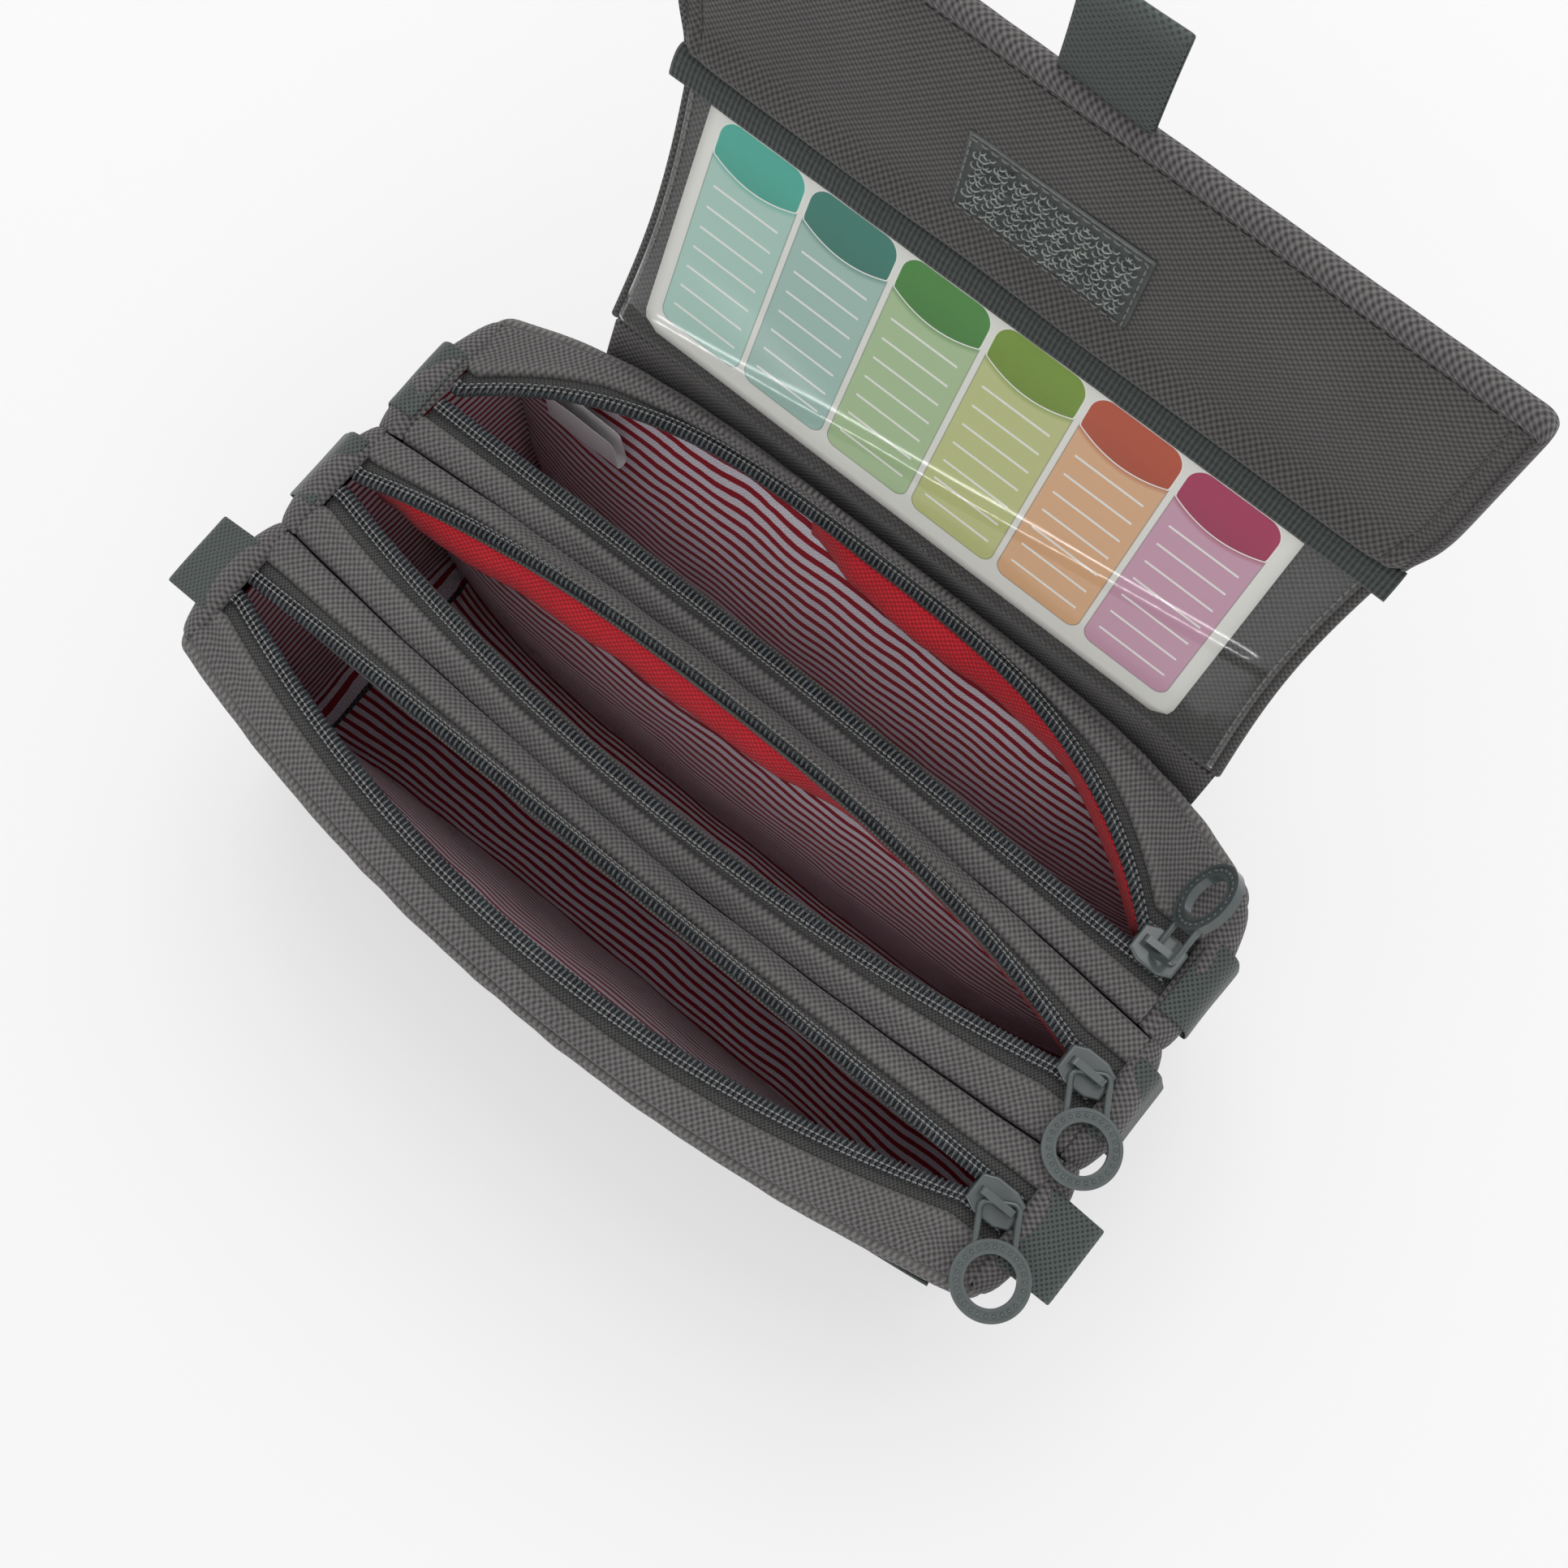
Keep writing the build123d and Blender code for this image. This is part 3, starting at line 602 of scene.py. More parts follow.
def gusset(pouch):
    # cloth band round the ends and the bottom of one pouch, puffed out at the ends
    start = zipEnd(pouch) + 0.15
    ends = [halfLength(pouch), halfLength(pouch + 1)]
    corner, base, height = case["topCorner"], case["bottomCorner"], case["height"]

    def station(end):
        places = [(-(start + f * (end - corner - start)), height, 0, 1, 0.15 + 0.5 * f) for f in (0, 0.5)]
        for a in range(0, 91, 10):
            s, c = math.sin(math.radians(a)), math.cos(math.radians(a))
            places.append((-(end - corner + corner * s), height - corner * (1 - c), -s, c, 0.65 + 0.35 * s))
        for f in (0.1, 0.25, 0.4, 0.55, 0.7, 0.85, 0.95):
            z = height - corner - f * (height - corner - base)
            places.append((-end, z, -1, 0, 1.0 - 0.35 * f))
        for a in range(0, 91, 10):
            s, c = math.sin(math.radians(a)), math.cos(math.radians(a))
            places.append((-(end - base + base * c), base * (1 - s), -c, -s, 0.65 * (1 - s)))
        places += [(-(end - base) * f, 0, 0, -1, 0) for f in (0.97, 0.9, 0.75, 0.5, 0.25, 0)]
        return places

    pairs = list(zip(station(ends[0]), station(ends[1])))
    pairs += [tuple((-x, z, -nx, nz, p) for x, z, nx, nz, p in pair) for pair in pairs[-2::-1]]
    shares = [0, 0.02, 0.05, 0.1, 0.17, 0.26, 0.38, 0.5, 0.62, 0.74, 0.83, 0.9, 0.95, 0.98, 1]
    rolls = [case["edgeRoll"] - 0.75 if s in (0, 3) else 0.25 for s in (pouch, pouch + 1)]
    rows = []
    for (xa, za, nxa, nza, puff), (xb, zb, nxb, nzb, _) in pairs:
        low = seamY(pouch, xa, za) + rolls[0]
        high = seamY(pouch + 1, xb, zb) - rolls[1]
        row = []
        for share in shares:
            x, z = xa + (xb - xa) * share, za + (zb - za) * share
            nx, nz = nxa + (nxb - nxa) * share, nza + (nzb - nza) * share
            y = low + (high - low) * share
            bow = math.sin(math.pi * share) ** 0.55
            lift = (case["puff"] * bow - 0.9 * (1 - bow)) * puff
            lift += case["crumple"] * ripple(x, y, z, 22, pouch + 0.4) * puff * bow
            lift += 0.3 * ripple(x, y, z, 6, pouch) * puff * min(bow, 1 - bow) * 2
            if puff == 0:
                lift = -0.5 * (1 - bow)
            row.append((x + nx * lift, y, max(z + nz * lift, 1.05)))      # the cloth is 1 mm thick
        rows.append(row)
    piece = gridPiece(pouchNames[pouch] + "GussetCloth", rows, bodyOxford, thickness=1.0, grow=1)
    clothOn("case", pouchNames[pouch] + "_gusset", piece)


def topStrip(pouch, side):
    # cloth between a seam and the zip, folded under along the tape
    seam = pouch + side
    half, outer = zipEnd(pouch), seam in (0, 3)
    foldedEdge = [(0.35, -0.75), (0.05, -0.35), (0.0, 0.1), (0.25, 0.5), (0.8, 0.75)]
    rows, wear = [], []
    for x in alongCase(half, 150):
        coil, across, out, tapeEdge, reach = edgeFrame(pouch, side, x)
        width = max(reach - (case["edgeRoll"] - 1.3 if outer else -0.2) - tapeEdge, 1.5)
        row, rub = [], [0.25] * len(foldedEdge)
        for s, n in foldedEdge:
            sway = 0.22 * ripple(x, seam * 40, n, 9, pouch) * openness(pouch, side, x)
            row.append(coil + across * (tapeEdge + s * 1.1 + sway) + out * n)
        # then the crown, and down into the seam
        for f in (0.2, 0.36, 0.52, 0.68, 0.82, 0.92, 0.97, 1.0):
            crown = math.sin(math.pi * f) ** 0.7
            lift = 0.75 + (0.35 + 0.04 * width) * crown
            lift += case["crumple"] * 0.9 * crown * ripple(x, f * width, seam * 50, 17, 2.2 * pouch + side)
            lift += case["folds"] * crown * ripple(x * 0.22, f * width * 1.6, seam * 30, 8, pouch + side + 4)
            if outer:       # lies low at both ends, where the ring pull rests on it
                lift -= 1.4 * crown * min(max((abs(x) - sliderX(pouch) + 20) / 10, 0), 1)
            lift += 0.28 * ripple(x, f * width * 0.5, seam * 50, 5.5, pouch + 9) * (1 - crown * 0.6)
            lift -= max(f - 0.9, 0) * 10 * (1.5 if outer else 1.9)
            row.append(coil + across * (tapeEdge + 0.9 + (width - 0.9) * f) + out * lift)
            rub.append(0.1 * crown)
        rows.append(row)
        wear.append(rub)
    name, node = sideNames(pouch, side)
    piece = gridPiece(name + "StripCloth", rows, bodyOxford, thickness=0.8, wear=wear, grow=1, flip=side == 1)
    clothOn("case", node + "strip", piece)
    # the row of stitches that holds the tape, just inside the folded edge
    line = []
    for x in alongCase(half - 1, 110):
        coil, across, out, tapeEdge, _ = edgeFrame(pouch, side, x)
        line.append(coil + across * (tapeEdge + 1.7) + out * 1.02)
    sewn(stitches(name + "StripStitches", line, greyThread, (0, 0, 1), 2.4, 1.8, 0.22), "case")


coils = {
    "pitch": 1.25, "wide": 1.75, "tall": 0.72, "thread": 0.34,     # a number 5 coil
    "across": 0.75, "out": 0.42,                     # where its middle is over the tape
    "perTurn": 9, "endGap": 0.8,
    "stitchRows": ((0.75, 1.33), (1.95, 1.15)),      # across from the coil's middle, and out of the tape
    "stitchHalf": 0.45, "stitchRadius": 0.17,
}


def zipHalf(pouch, side):
    # tape, coil and the two rows of stitches that fasten the coil
    name, node = sideNames(pouch, side)
    half, pitch = zipEnd(pouch), coils["pitch"]
    rows = []
    for x in alongCase(half, 130):
        coil, across, out, tapeEdge, _ = edgeFrame(pouch, side, x)
        row = []
        for f in (0, 0.12, 0.3, 0.55, 0.8, 1.0):
            sag = 0.25 * math.sin(math.pi * f) * ripple(x, 0, seamY(side, 0, 0), 12, pouch)
            row.append(coil + across * (f * (tapeEdge + 1.6) - 0.6) + out * (sag - 0.72))
        # its outer edge turns down into the seam
        row += [coil + across * (tapeEdge + s) + out * n for s, n in ((1.4, -1.3), (1.6, -2.6), (1.6, -4.0))]
        rows.append(row)
    tape = gridPiece(name + "TapeKnit", rows, tapeKnit, thickness=0.6, flip=side == 1)
    clothOn("case", node + "tape", tape)
    first, turns = coils["endGap"] - half, int(2 * (half - coils["endGap"]) / pitch)
    line, points, faces = [], [], []
    for i in range(turns * coils["perTurn"] + 1):
        t = i / coils["perTurn"]
        a = 2 * math.pi * t
        coil, across, out = edgeFrame(pouch, side, first + t * pitch)[:3]
        wind = across * (coils["across"] + coils["wide"] * math.cos(a))
        line.append(coil + wind + out * (coils["out"] + coils["tall"] * math.sin(a)))
    tubeMesh(line, coils["thread"], 5, points, faces)
    sewn(makePiece(name + "Coil", points, faces, coilNylon), "case", node + "coil")
    points, faces = [], []
    for i in range(turns):
        x = first + (i + 0.25) * pitch
        coil, across, out = edgeFrame(pouch, side, x)[:3]
        ahead = (edgeFrame(pouch, side, x + pitch)[0] - coil).normalized() * coils["stitchHalf"]
        for s, n in coils["stitchRows"]:
            middle = coil + across * s + out * n
            path = [middle - ahead - out * 0.15, middle + out * 0.08, middle + ahead - out * 0.15]
            tubeMesh(path, coils["stitchRadius"], 4, points, faces)
    sewn(makePiece(name + "CoilStitches", points, faces, paleThread), "case")


bag = {
    "sags": ((0.16, 0.05), (0.05, 0.34), (0, 0.34)),   # front and rear wall, in depths of a pouch
    "topDrop": 7.5, "slack": 0.9, "wrinkle": 0.8,
}


def sag(pouch, side, x, z):
    # how far a wall of the lining hangs inwards
    top = case["height"] - bag["topDrop"]
    ease = math.sin(math.pi / 2 * min(max((top - z) / top, 0) / 0.5, 1))
    ends = 1 - min(abs(x) / halfLength(pouch + side), 1) ** 4
    return bag["sags"][pouch][side] * case["pouchDepth"] * ease * ends


def lining(pouch):
    # striped inner bag: the front wall, the floor and the rear wall in one run, and two ends
    top = case["height"] - bag["topDrop"]
    shares = alongCase(1, 90)

    def wallY(side, x, z):
        inward = 1 if side == 0 else -1
        creases = ripple(x, z, 10 * side, 26, pouch + 0.7) + 0.4 * ripple(x, z, 0, 9, pouch)
        loose = bag["slack"] + bag["wrinkle"] * creases
        calm = min(z / 10, 1) * min((top + 2 - z) / 8, 1)
        return seamY(pouch + side, x, z) + inward * (1.45 + sag(pouch, side, x, z) + max(loose, 0) * calm)

    def wallX(side, share, z):
        return share * (endAt(pouch + side, max(z, 1.7), 1.7) - 0.3)

    def wallRow(side, z):
        xs = [wallX(side, share, z) for share in shares]
        return [(x, wallY(side, x, z), z) for x in xs], [(x, -z - 30 if side else z) for x in xs]

    def floorRow(f):
        row, uvRow = [], []
        for share in shares:
            xa, xb = wallX(0, share, 0), wallX(1, share, 0)
            x = xa + (xb - xa) * f
            ya, yb = wallY(0, xa, 1.8), wallY(1, xb, 1.8)
            row.append((x, ya + (yb - ya) * f, 1.6 + 0.25 * ripple(x, f * 30, 0, 14, pouch)))
            uvRow.append((x, -30 * f))
        return row, uvRow

    heights = [top, 80, 75, 70, 64, 58, 52, 46, 40, 34, 28, 22, 17, 13, 9, 6, 4, 2.6, 1.8]
    run = [wallRow(0, z) for z in heights] + [floorRow(f) for f in (0.15, 0.35, 0.5, 0.65, 0.85)]
    run += [wallRow(1, z) for z in heights[::-1]]
    rows, width = [row for row, _ in run], len(shares)
    points, flatUvs = flattened(rows), flattened([uvRow for _, uvRow in run])
    faces = [(r * width + c, (r + 1) * width + c, (r + 1) * width + c + 1, r * width + c + 1)
             for r in range(len(rows) - 1) for c in range(width - 1)]
    # ends: join the first and last columns of the two walls
    steps = 5
    for column in (0, width - 1):
        first = len(points)
        for z, front, rear in zip(heights, rows, rows[::-1]):
            a, b = front[column], rear[column]
            for f in spread(0, 1, steps):
                x = a[0] + (b[0] - a[0]) * f
                bulge = 0.6 * ripple(f * 30, a[2], 0, 15, pouch + column) * math.sin(math.pi * f)
                points.append((x + (bulge if x < 0 else -bulge), a[1] + (b[1] - a[1]) * f, a[2]))
                flatUvs.append((points[-1][1], z))
        for i in range(len(heights) - 1):
            for c in range(steps):
                a = first + i * (steps + 1) + c
                quad = (a, a + steps + 1, a + steps + 2, a + 1)
                faces.append(quad if column else quad[::-1])
    piece = makePiece(pouchNames[pouch] + "LiningCloth", points, faces, liningTaffeta, flatUvs)
    thicken(piece, 0.25, 1)
    clothOn("case", pouchNames[pouch] + "_lining", piece)


facing = {
    "below": 3.9,            # how far it hangs under the coil
    "wide": 7.0, "step": 2.2,
    "lean": 4.2,             # how far it leans into the open mouth
}


def facingBand(pouch, shown):
    # red tape over the lining's upper edge, hanging just under the rear coil. Shown says
    # at some places along it how far it leans out from under the zip.
    start, end = shown[0][0], shown[-1][0]

    def lean(x):
        for (xa, a), (xb, b) in zip(shown, shown[1:]):
            if x <= xb:
                t = max((x - xa) / (xb - xa), 0)
                return a + (b - a) * t * t * (3 - 2 * t)
        return shown[-1][1]

    rows = []
    for x in spread(start, end, int((end - start) / facing["step"])):
        coil = edgeFrame(pouch, 1, x)[0]
        opened, out = openness(pouch, 1, x), lean(x)
        row = []
        for f in (0, 0.15, 0.35, 0.55, 0.75, 0.9, 1.0):
            z = coil.z - facing["below"] + 1.7 * out - f * (facing["wide"] + 1.4 * out + 0.8 * opened)
            y = coil.y + 0.6 - out
            y -= min(opened * 1.8, 1) * out * facing["lean"] * math.sin(math.pi / 2 * f)
            sway = 0.6 * ripple(x, f * 8, 0, 13, pouch + 3) * (0.3 + f)
            y += (sway + 0.25 * ripple(x, f * 8, 0, 4, pouch)) * out
            row.append((x, min(y, seamY(pouch + 1, x, 76)), z))
        rows.append(row)
    piece = gridPiece(pouchNames[pouch] + "FacingCanvas", rows, redCanvas, thickness=0.6, grow=1)
    clothOn("case", pouchNames[pouch] + "_facing", piece)


tabs = {
    "wide": 20.0, "long": 14.0,
    "droops": ((20.0, 8.0), (60.0, 75.0), (75.0, 80.0)),   # left and right end of each pouch
}


def webbingTab(pouch, end):
    # short length of webbing folded back on itself beyond the zip's end, bent down over the corner
    sign = 1 if end == "right" else -1
    droop = math.radians(tabs["droops"][pouch][end == "right"])
    root = zipEnd(pouch) + 0.8
    cornerX = max(halfLength(pouch) - case["topCorner"], halfLength(pouch + 1) - case["topCorner"], root)
    radius = case["topCorner"] + 0.3

    def at(run, out):
        # a place along the tab's underside and out of it
        lead, bend = cornerX - root, radius * droop
        if run < lead:
            return root + run, case["height"] + 0.3 + out
        a = min((run - lead) / radius, droop)
        rest = max(run - lead - bend, 0)
        x = cornerX + (radius + out) * math.sin(a) + rest * math.cos(a)
        return x, case["height"] - case["topCorner"] + (radius + out) * math.cos(a) - rest * math.sin(a)

    long = tabs["long"]
    # along the tab and out of it: the lower half, the fold at its tip, the upper half
    under = [(0.0, 0.3), (1, 0.3), (2.2, 0.35), (3.6, 0.4), (5, 0.35), (7, 0.3), (9.5, 0.3), (12, 0.3),
             (13.3, 0.32)]
    turn = [(13.75, 0.6), (13.8, 1.05), (13.7, 1.5)]
    over = [(13.2, 1.8), (12, 1.75), (9.5, 1.7), (7, 1.75), (5, 1.8), (3.6, 1.75), (2.2, 1.7), (1, 1.65),
            (0, 1.5)]
    rows, wear = [], []
    for run, out in under + turn + over:
        row = []
        for share in spread(-0.5, 0.5, 12):
            y = zipY(pouch) + (tabs["wide"] - 0.6) * share * (1 - 0.03 * run / long)
            curl = 0.55 * ripple(run, y, 0, 15, pouch + sign + 0.5) * run / long + 0.25
            x, z = at(run, out + curl)
            row.append((sign * x, y, z))
        rows.append(row)
        wear.append([0.6 if run > 12.5 else 0.1] * len(row))
    name = f"{pouchNames[pouch]}{end.capitalize()}Tab"
    piece = gridPiece(name, rows, webbing, thickness=0.55, wear=wear, grow=0, soften=1)
    clothOn("case", f"{pouchNames[pouch]}_{end}_tab", piece)


def careLabel():
    # blank satin ribbon folded in half, sewn into the back pouch's rear wall
    low, high = [[c / toMetres for c in corner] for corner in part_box("care_label")]
    y0, y1, z0, z1 = low[1] + 0.3, high[1] - 0.3, low[2] + 0.2, high[2] - 0.2
    middle = (y0 + y1) / 2
    profile = [(y1, z1), (y1 - 0.2, z1 - 5), (y1, z0 + 3)]
    for a in range(0, 181, 30):
        c, s = math.cos(math.radians(a)), math.sin(math.radians(a))
        profile.append((middle + (y1 - middle) * c, z0 + 1.4 - 1.3 * s))
    profile += [(y0, z0 + 3), (y0 + 0.5, z1 - 5), (y0 + 0.2, z1)]
    xs = spread(low[0] + 0.3, high[0] - 0.3, 10)
    rows = [[(x, y + 0.35 * ripple(i, z, 0, 5, 2), z) for i, x in enumerate(xs)] for y, z in profile]
    piece = gridPiece("careLabelSatin", rows, satin, thickness=0.15, grow=0, soften=1)
    clothOn("case", "care_label", piece)


trim = {
    "base": 52.0, "tall": 20.0, "endGap": 8.2,
    "patchWide": 41.6, "patchTall": 17.6, "pile": 1.0,
}


def frontTrim():
    # webbing across the front panel with the loop patch of the fastener on it
    base, tall = trim["base"], trim["tall"]
    rows = [[(x, seamY(0, x, z) - 1.95 - 0.25 * ripple(x, z, 0, 20, 4) - 0.1, z)
             for x in alongCase(endAt(0, z) - trim["endGap"], 80)]
            for z in spread(base + 0.2, base + tall - 0.2, 8)]
    piece = gridPiece("frontTrimWebbing", rows, webbing, thickness=0.8, grow=1)
    clothOn("case", "front_trim", piece)
    for k, z in enumerate((base + 1.6, base + tall - 1.6)):
        line = [(x, seamY(0, x, z) - 2.15, z) for x in alongCase(endAt(0, z) - 10, 80)]
        sewn(stitches(f"frontTrimStitches{k}", line, greyThread, (0, -1, 0)), "case")
    # the patch: two points to the millimetre, low at its edges
    wide, up = 84, 36
    rows = []
    for i, z in enumerate(spread(base + 1.2, base + 1.2 + trim["patchTall"], up)):
        rows.append([])
        for j, x in enumerate(spread(-trim["patchWide"] / 2, trim["patchWide"] / 2, wide)):
            pile = min(min(j, wide - j) / 2, min(i, up - i) / 2, 1) * trim["pile"]
            rows[-1].append((x, seamY(0, x, z) - 3.0 - pile - 0.45 * abs(ripple(x, z, 0, 1.1, 3)) * pile, z))
    piece = gridPiece("loopPatchPile", rows, loopPile, thickness=0.5, grow=1)
    clothOn("case", "loop_patch", piece)


print("body of the case")
setCamera()
outerPanel(0, "frontPanelCloth", "front_panel")
outerPanel(3, "backPanelCloth", "back_panel")
divider(1, "frontDividerCloth", "front_divider")
divider(2, "rearDividerCloth", "rear_divider")
for pouch in range(3):
    gusset(pouch)
    lining(pouch)
    for side in (0, 1):
        topStrip(pouch, side)
        zipHalf(pouch, side)
    for end in ("left", "right"):
        webbingTab(pouch, end)
facingBand(1, [(-100, 0.0), (-88, 0.9), (-60, 1.0), (0, 0.95), (31, 0.0), (96, 0.0)])
facingBand(2, [(-20, 0.05), (-4, 0.8), (15, 1.0), (40, 0.45), (58, 0.12), (80, 0.3), (91, 0.4)])
careLabel()
frontTrim()


# Flap

flap = {
    "hinge": (0.0, 64.69, 97.0), "lean": 61.5, "bend": 18.5, "inner": 70.0,
    "width": 165.0, "waist": 2.4,       # the inner section draws in between its seams
    "outerWidth": 174.0, "outer": 53.0, "cornerRound": 3.5, "neck": 2.8,
}
outOfFlap, outOfTip = (0, -0.88, 0.48), (0, -0.98, 0.17)       # out of the face of each section


def innerHalf(s):
    return flap["width"] / 2 - flap["waist"] * math.sin(math.pi * min(max(s / flap["inner"], 0), 1))


def outerHalf(s):
    # narrower at the fold, where it joins the inner section
    return flap["outerWidth"] / 2 - flap["neck"] * math.exp(-(s / 9) ** 2)


def onFlap(x, s, n, corner, lean):
    # a point of a section: across, up the flap and out of its face
    a = math.radians(lean)
    _, y, z = corner
    return (x, y + s * math.cos(a) - n * math.sin(a), z + s * math.sin(a) + n * math.cos(a))


def onInner(x, s, n):
    return onFlap(x, s, n, flap["hinge"], flap["lean"])


def onOuter(x, s, n):
    return onFlap(x, s, n, onInner(0, flap["inner"], 0), flap["lean"] + flap["bend"])


def innerSection():
    shares, ss = spread(-1, 1, 90), spread(0.3, 69.2, 40)

    def edge(x, s):
        return min(innerHalf(s) - abs(x), 6) / 6

    def face(x, s):
        return 0.75 + 0.25 * ripple(x, s, 0, 24, 1) * edge(x, s) - 0.5 * (1 - edge(x, s)) ** 3

    def back(x, s):
        return -0.75 + 0.35 * ripple(x, s, 0, 30, 8) * edge(x, s) + 0.4 * (1 - edge(x, s)) ** 3

    # the facings take the body's cloth drawn darker, as painted shade
    for name, rise, material, ups in (("innerFlapFacing", face, shadeDarkenedOxford, ss),
                                      ("innerFlapCover", back, bodyOxford, [1.8] + ss[2:])):
        places = [[(innerHalf(s) * share, s) for share in shares] for s in ups]
        rows = [[onInner(x, s, rise(x, s)) for x, s in row] for row in places]
        piece = gridPiece(name, rows, material, places, thickness=0.6, flip=rise is back)
        clothOn("flap", "inner_flap", piece)
    # side edges bound in the same cloth, with their stitches
    for sign in (-1, 1):
        line = [onInner(sign * (innerHalf(s) - 0.3), s, 0) for s in spread(0.6, 68.8, 50)]
        points, faces = [], []
        tubeMesh(line, 1.15, 10, points, faces)
        name = "flapBindingLeft" if sign < 0 else "flapBindingRight"
        uvs = [(i // 10 * 1.4, i % 10 * 0.7) for i in range(len(points))]
        sewn(makePiece(name, points, faces, shadeDarkenedOxford, uvs), "flap")
        line = [onInner(sign * (innerHalf(s) - 2.6), s, 1.95) for s in spread(2.5, 63, 40)]
        sewn(stitches(name + "Stitches", line, greyThread, outOfFlap, 2.2, 1.5, 0.2), "flap")


card = {
    "wide": 142.4, "tall": 59.0, "shift": -3.9, "start": 4.5, "corner": 4.0,
    "margin": 2.8, "column": 22.8, "rule": 5.3,      # left margin, and spacing of columns and ruled lines
    "inks": ["#3fae9b", "#227a6a", "#378522", "#729400", "#b8420c", "#a80f50"],
    "tints": ["#b3d6ca", "#a9c9bf", "#b2cb9c", "#c9cd8c", "#e6b58a", "#d3a2b8"],
    "paper": "#eceae4", "lines": "#f6f4ef", "rim": "#f1f0ea", "columnEdge": "#8d8f88",
}


def offsetPrint(tree):
    # Coated card, offset printed: flat bright inks with a fine white rule, and a slight
    # satin gloss from the coating. Places are millimetres from the card's lower left corner.
    onCard = addNode(tree, "UVMap", {"uv_map": "clothUv"})
    u = addNode(tree, "SeparateXYZ", {"Vector": onCard}, "X")
    v = u.node.outputs["Y"]
    count, top = len(card["inks"]), card["tall"] - 1.6
    shifted = addRow(tree, "Math", u, ("SUBTRACT", card["margin"]), ("DIVIDE", card["column"]))
    column = addRow(tree, "Math", shifted, ("FLOOR",))
    fromMiddle = addRow(tree, "Math", shifted, ("FRACT",), ("SUBTRACT", 0.5), ("MULTIPLY", card["column"]),
                        ("ABSOLUTE",))

    def byColumn(colours):
        place = addRow(tree, "Math", column, ("ADD", 0.5), ("DIVIDE", float(count)))
        tone = addNode(tree, "ValToRGB", {0: place})
        ramp = tone.node.color_ramp
        ramp.interpolation = "CONSTANT"
        while len(ramp.elements) < count:
            ramp.elements.new(0.5)
        for i, text in enumerate(colours):
            ramp.elements[i].position = i / count
            ramp.elements[i].color = hexColour(text)
        return tone

    def roundedInside(halfWide, low, high, corner):
        # how far inside a rounded box, negative outside
        dx = addRow(tree, "Math", fromMiddle, ("SUBTRACT", halfWide - corner))
        dy = addRow(tree, "Math", v, ("SUBTRACT", (low + high) / 2), ("ABSOLUTE",),
                    ("SUBTRACT", (high - low) / 2 - corner))
        squares = [addRow(tree, "Math", d, ("MAXIMUM", 0.0), ("POWER", 2.0)) for d in (dx, dy)]
        away = addRow(tree, "Math", squares[0], ("ADD", squares[1]), ("SQRT",))
        inner = addRow(tree, "Math", dx, ("MAXIMUM", dy), ("MINIMUM", 0.0))
        return addRow(tree, "Math", away, ("ADD", inner), ("MULTIPLY_ADD", -1.0, corner))

    def where(value, *tests):
        # 1 where a value passes all the tests
        passed = [addRow(tree, "Math", value, test) for test in tests]
        return passed[0] if len(passed) == 1 else addRow(tree, "Math", passed[0], ("MULTIPLY", passed[1]))

    columnEdge = roundedInside(10.75, 5.0, top - 0.6, 2.8)
    bow = addRow(tree, "Math", fromMiddle, ("POWER", 2.0), ("MULTIPLY", 0.022))     # headers are round below
    headEdge = addRow(tree, "Math", v, ("SUBTRACT", top - 11.3), ("SUBTRACT", bow),
                      ("MINIMUM", roundedInside(10.85, top - 11.6, top + 0.3, 4.2)))
    printed = where(column, ("GREATER_THAN", -0.5), ("LESS_THAN", count - 0.5))
    onLine = addRow(tree, "Math", v, ("SUBTRACT", 7.5), ("DIVIDE", card["rule"]), ("FRACT",), ("SUBTRACT", 0.5),
                    ("ABSOLUTE",), ("LESS_THAN", 0.05), ("MULTIPLY", where(fromMiddle, ("LESS_THAN", 8.3))),
                    ("MULTIPLY", where(v, ("LESS_THAN", top - 12.6), ("GREATER_THAN", 8.0))))
    inColumn, inRim, inHead = [addRow(tree, "Math", edge, ("GREATER_THAN", least), ("MULTIPLY", printed))
                               for edge, least in ((columnEdge, 0.0), (headEdge, 0.0), (headEdge, 0.3))]
    outline = addRow(tree, "Math", columnEdge, ("LESS_THAN", 0.28), ("MULTIPLY", 0.6))
    fade = addNode(tree, "MapRange", {0: v, 1: 6.0, 2: top, 3: 1.0, 4: 0.93})
    gloss = addNode(tree, "MapRange", {0: v, 1: top - 11, 2: top, 3: 0.88, 4: 1.12})
    below = addNode(tree, "MapRange", {0: headEdge, 1: -1.3, 2: -0.1, 3: 0.0, 4: 0.6})
    grain = addNode(tree, "TexNoise", {"Vector": onCard, "Scale": 6.0, "Detail": 3.0})
    grain = addNode(tree, "MapRange", {0: grain, 1: 0.3, 2: 0.7, 3: 0.97, 4: 1.02})

    def layered(ground, *layers):
        # inks one over another: how each mixes, where it lies and its colour
        for blend, share, colour in layers:
            ground = addNode(tree, "Mix", {"data_type": "RGBA", "blend_type": blend, 0: share, 6: ground,
                                           7: colour}, 2)
        return ground

    # a header's shade falls on its column, and a white line follows the header's lower edge
    columnInk = layered(byColumn(card["tints"]), ("MIX", onLine, hexColour(card["lines"])),
                        ("MULTIPLY", 1.0, fade), ("MIX", below, byColumn(card["inks"])),
                        ("MIX", outline, hexColour(card["columnEdge"])))
    headInk = layered(byColumn(card["inks"]), ("MULTIPLY", 1.0, gloss))
    ink = layered(hexColour(card["paper"]), ("MIX", inColumn, columnInk),
                  ("MIX", inRim, hexColour(card["rim"])), ("MIX", inHead, headInk), ("MULTIPLY", 1.0, grain))
    return addNode(tree, "BsdfPrincipled", {"Base Color": ink, "Roughness": 0.45, "Specular IOR Level": 0.2})


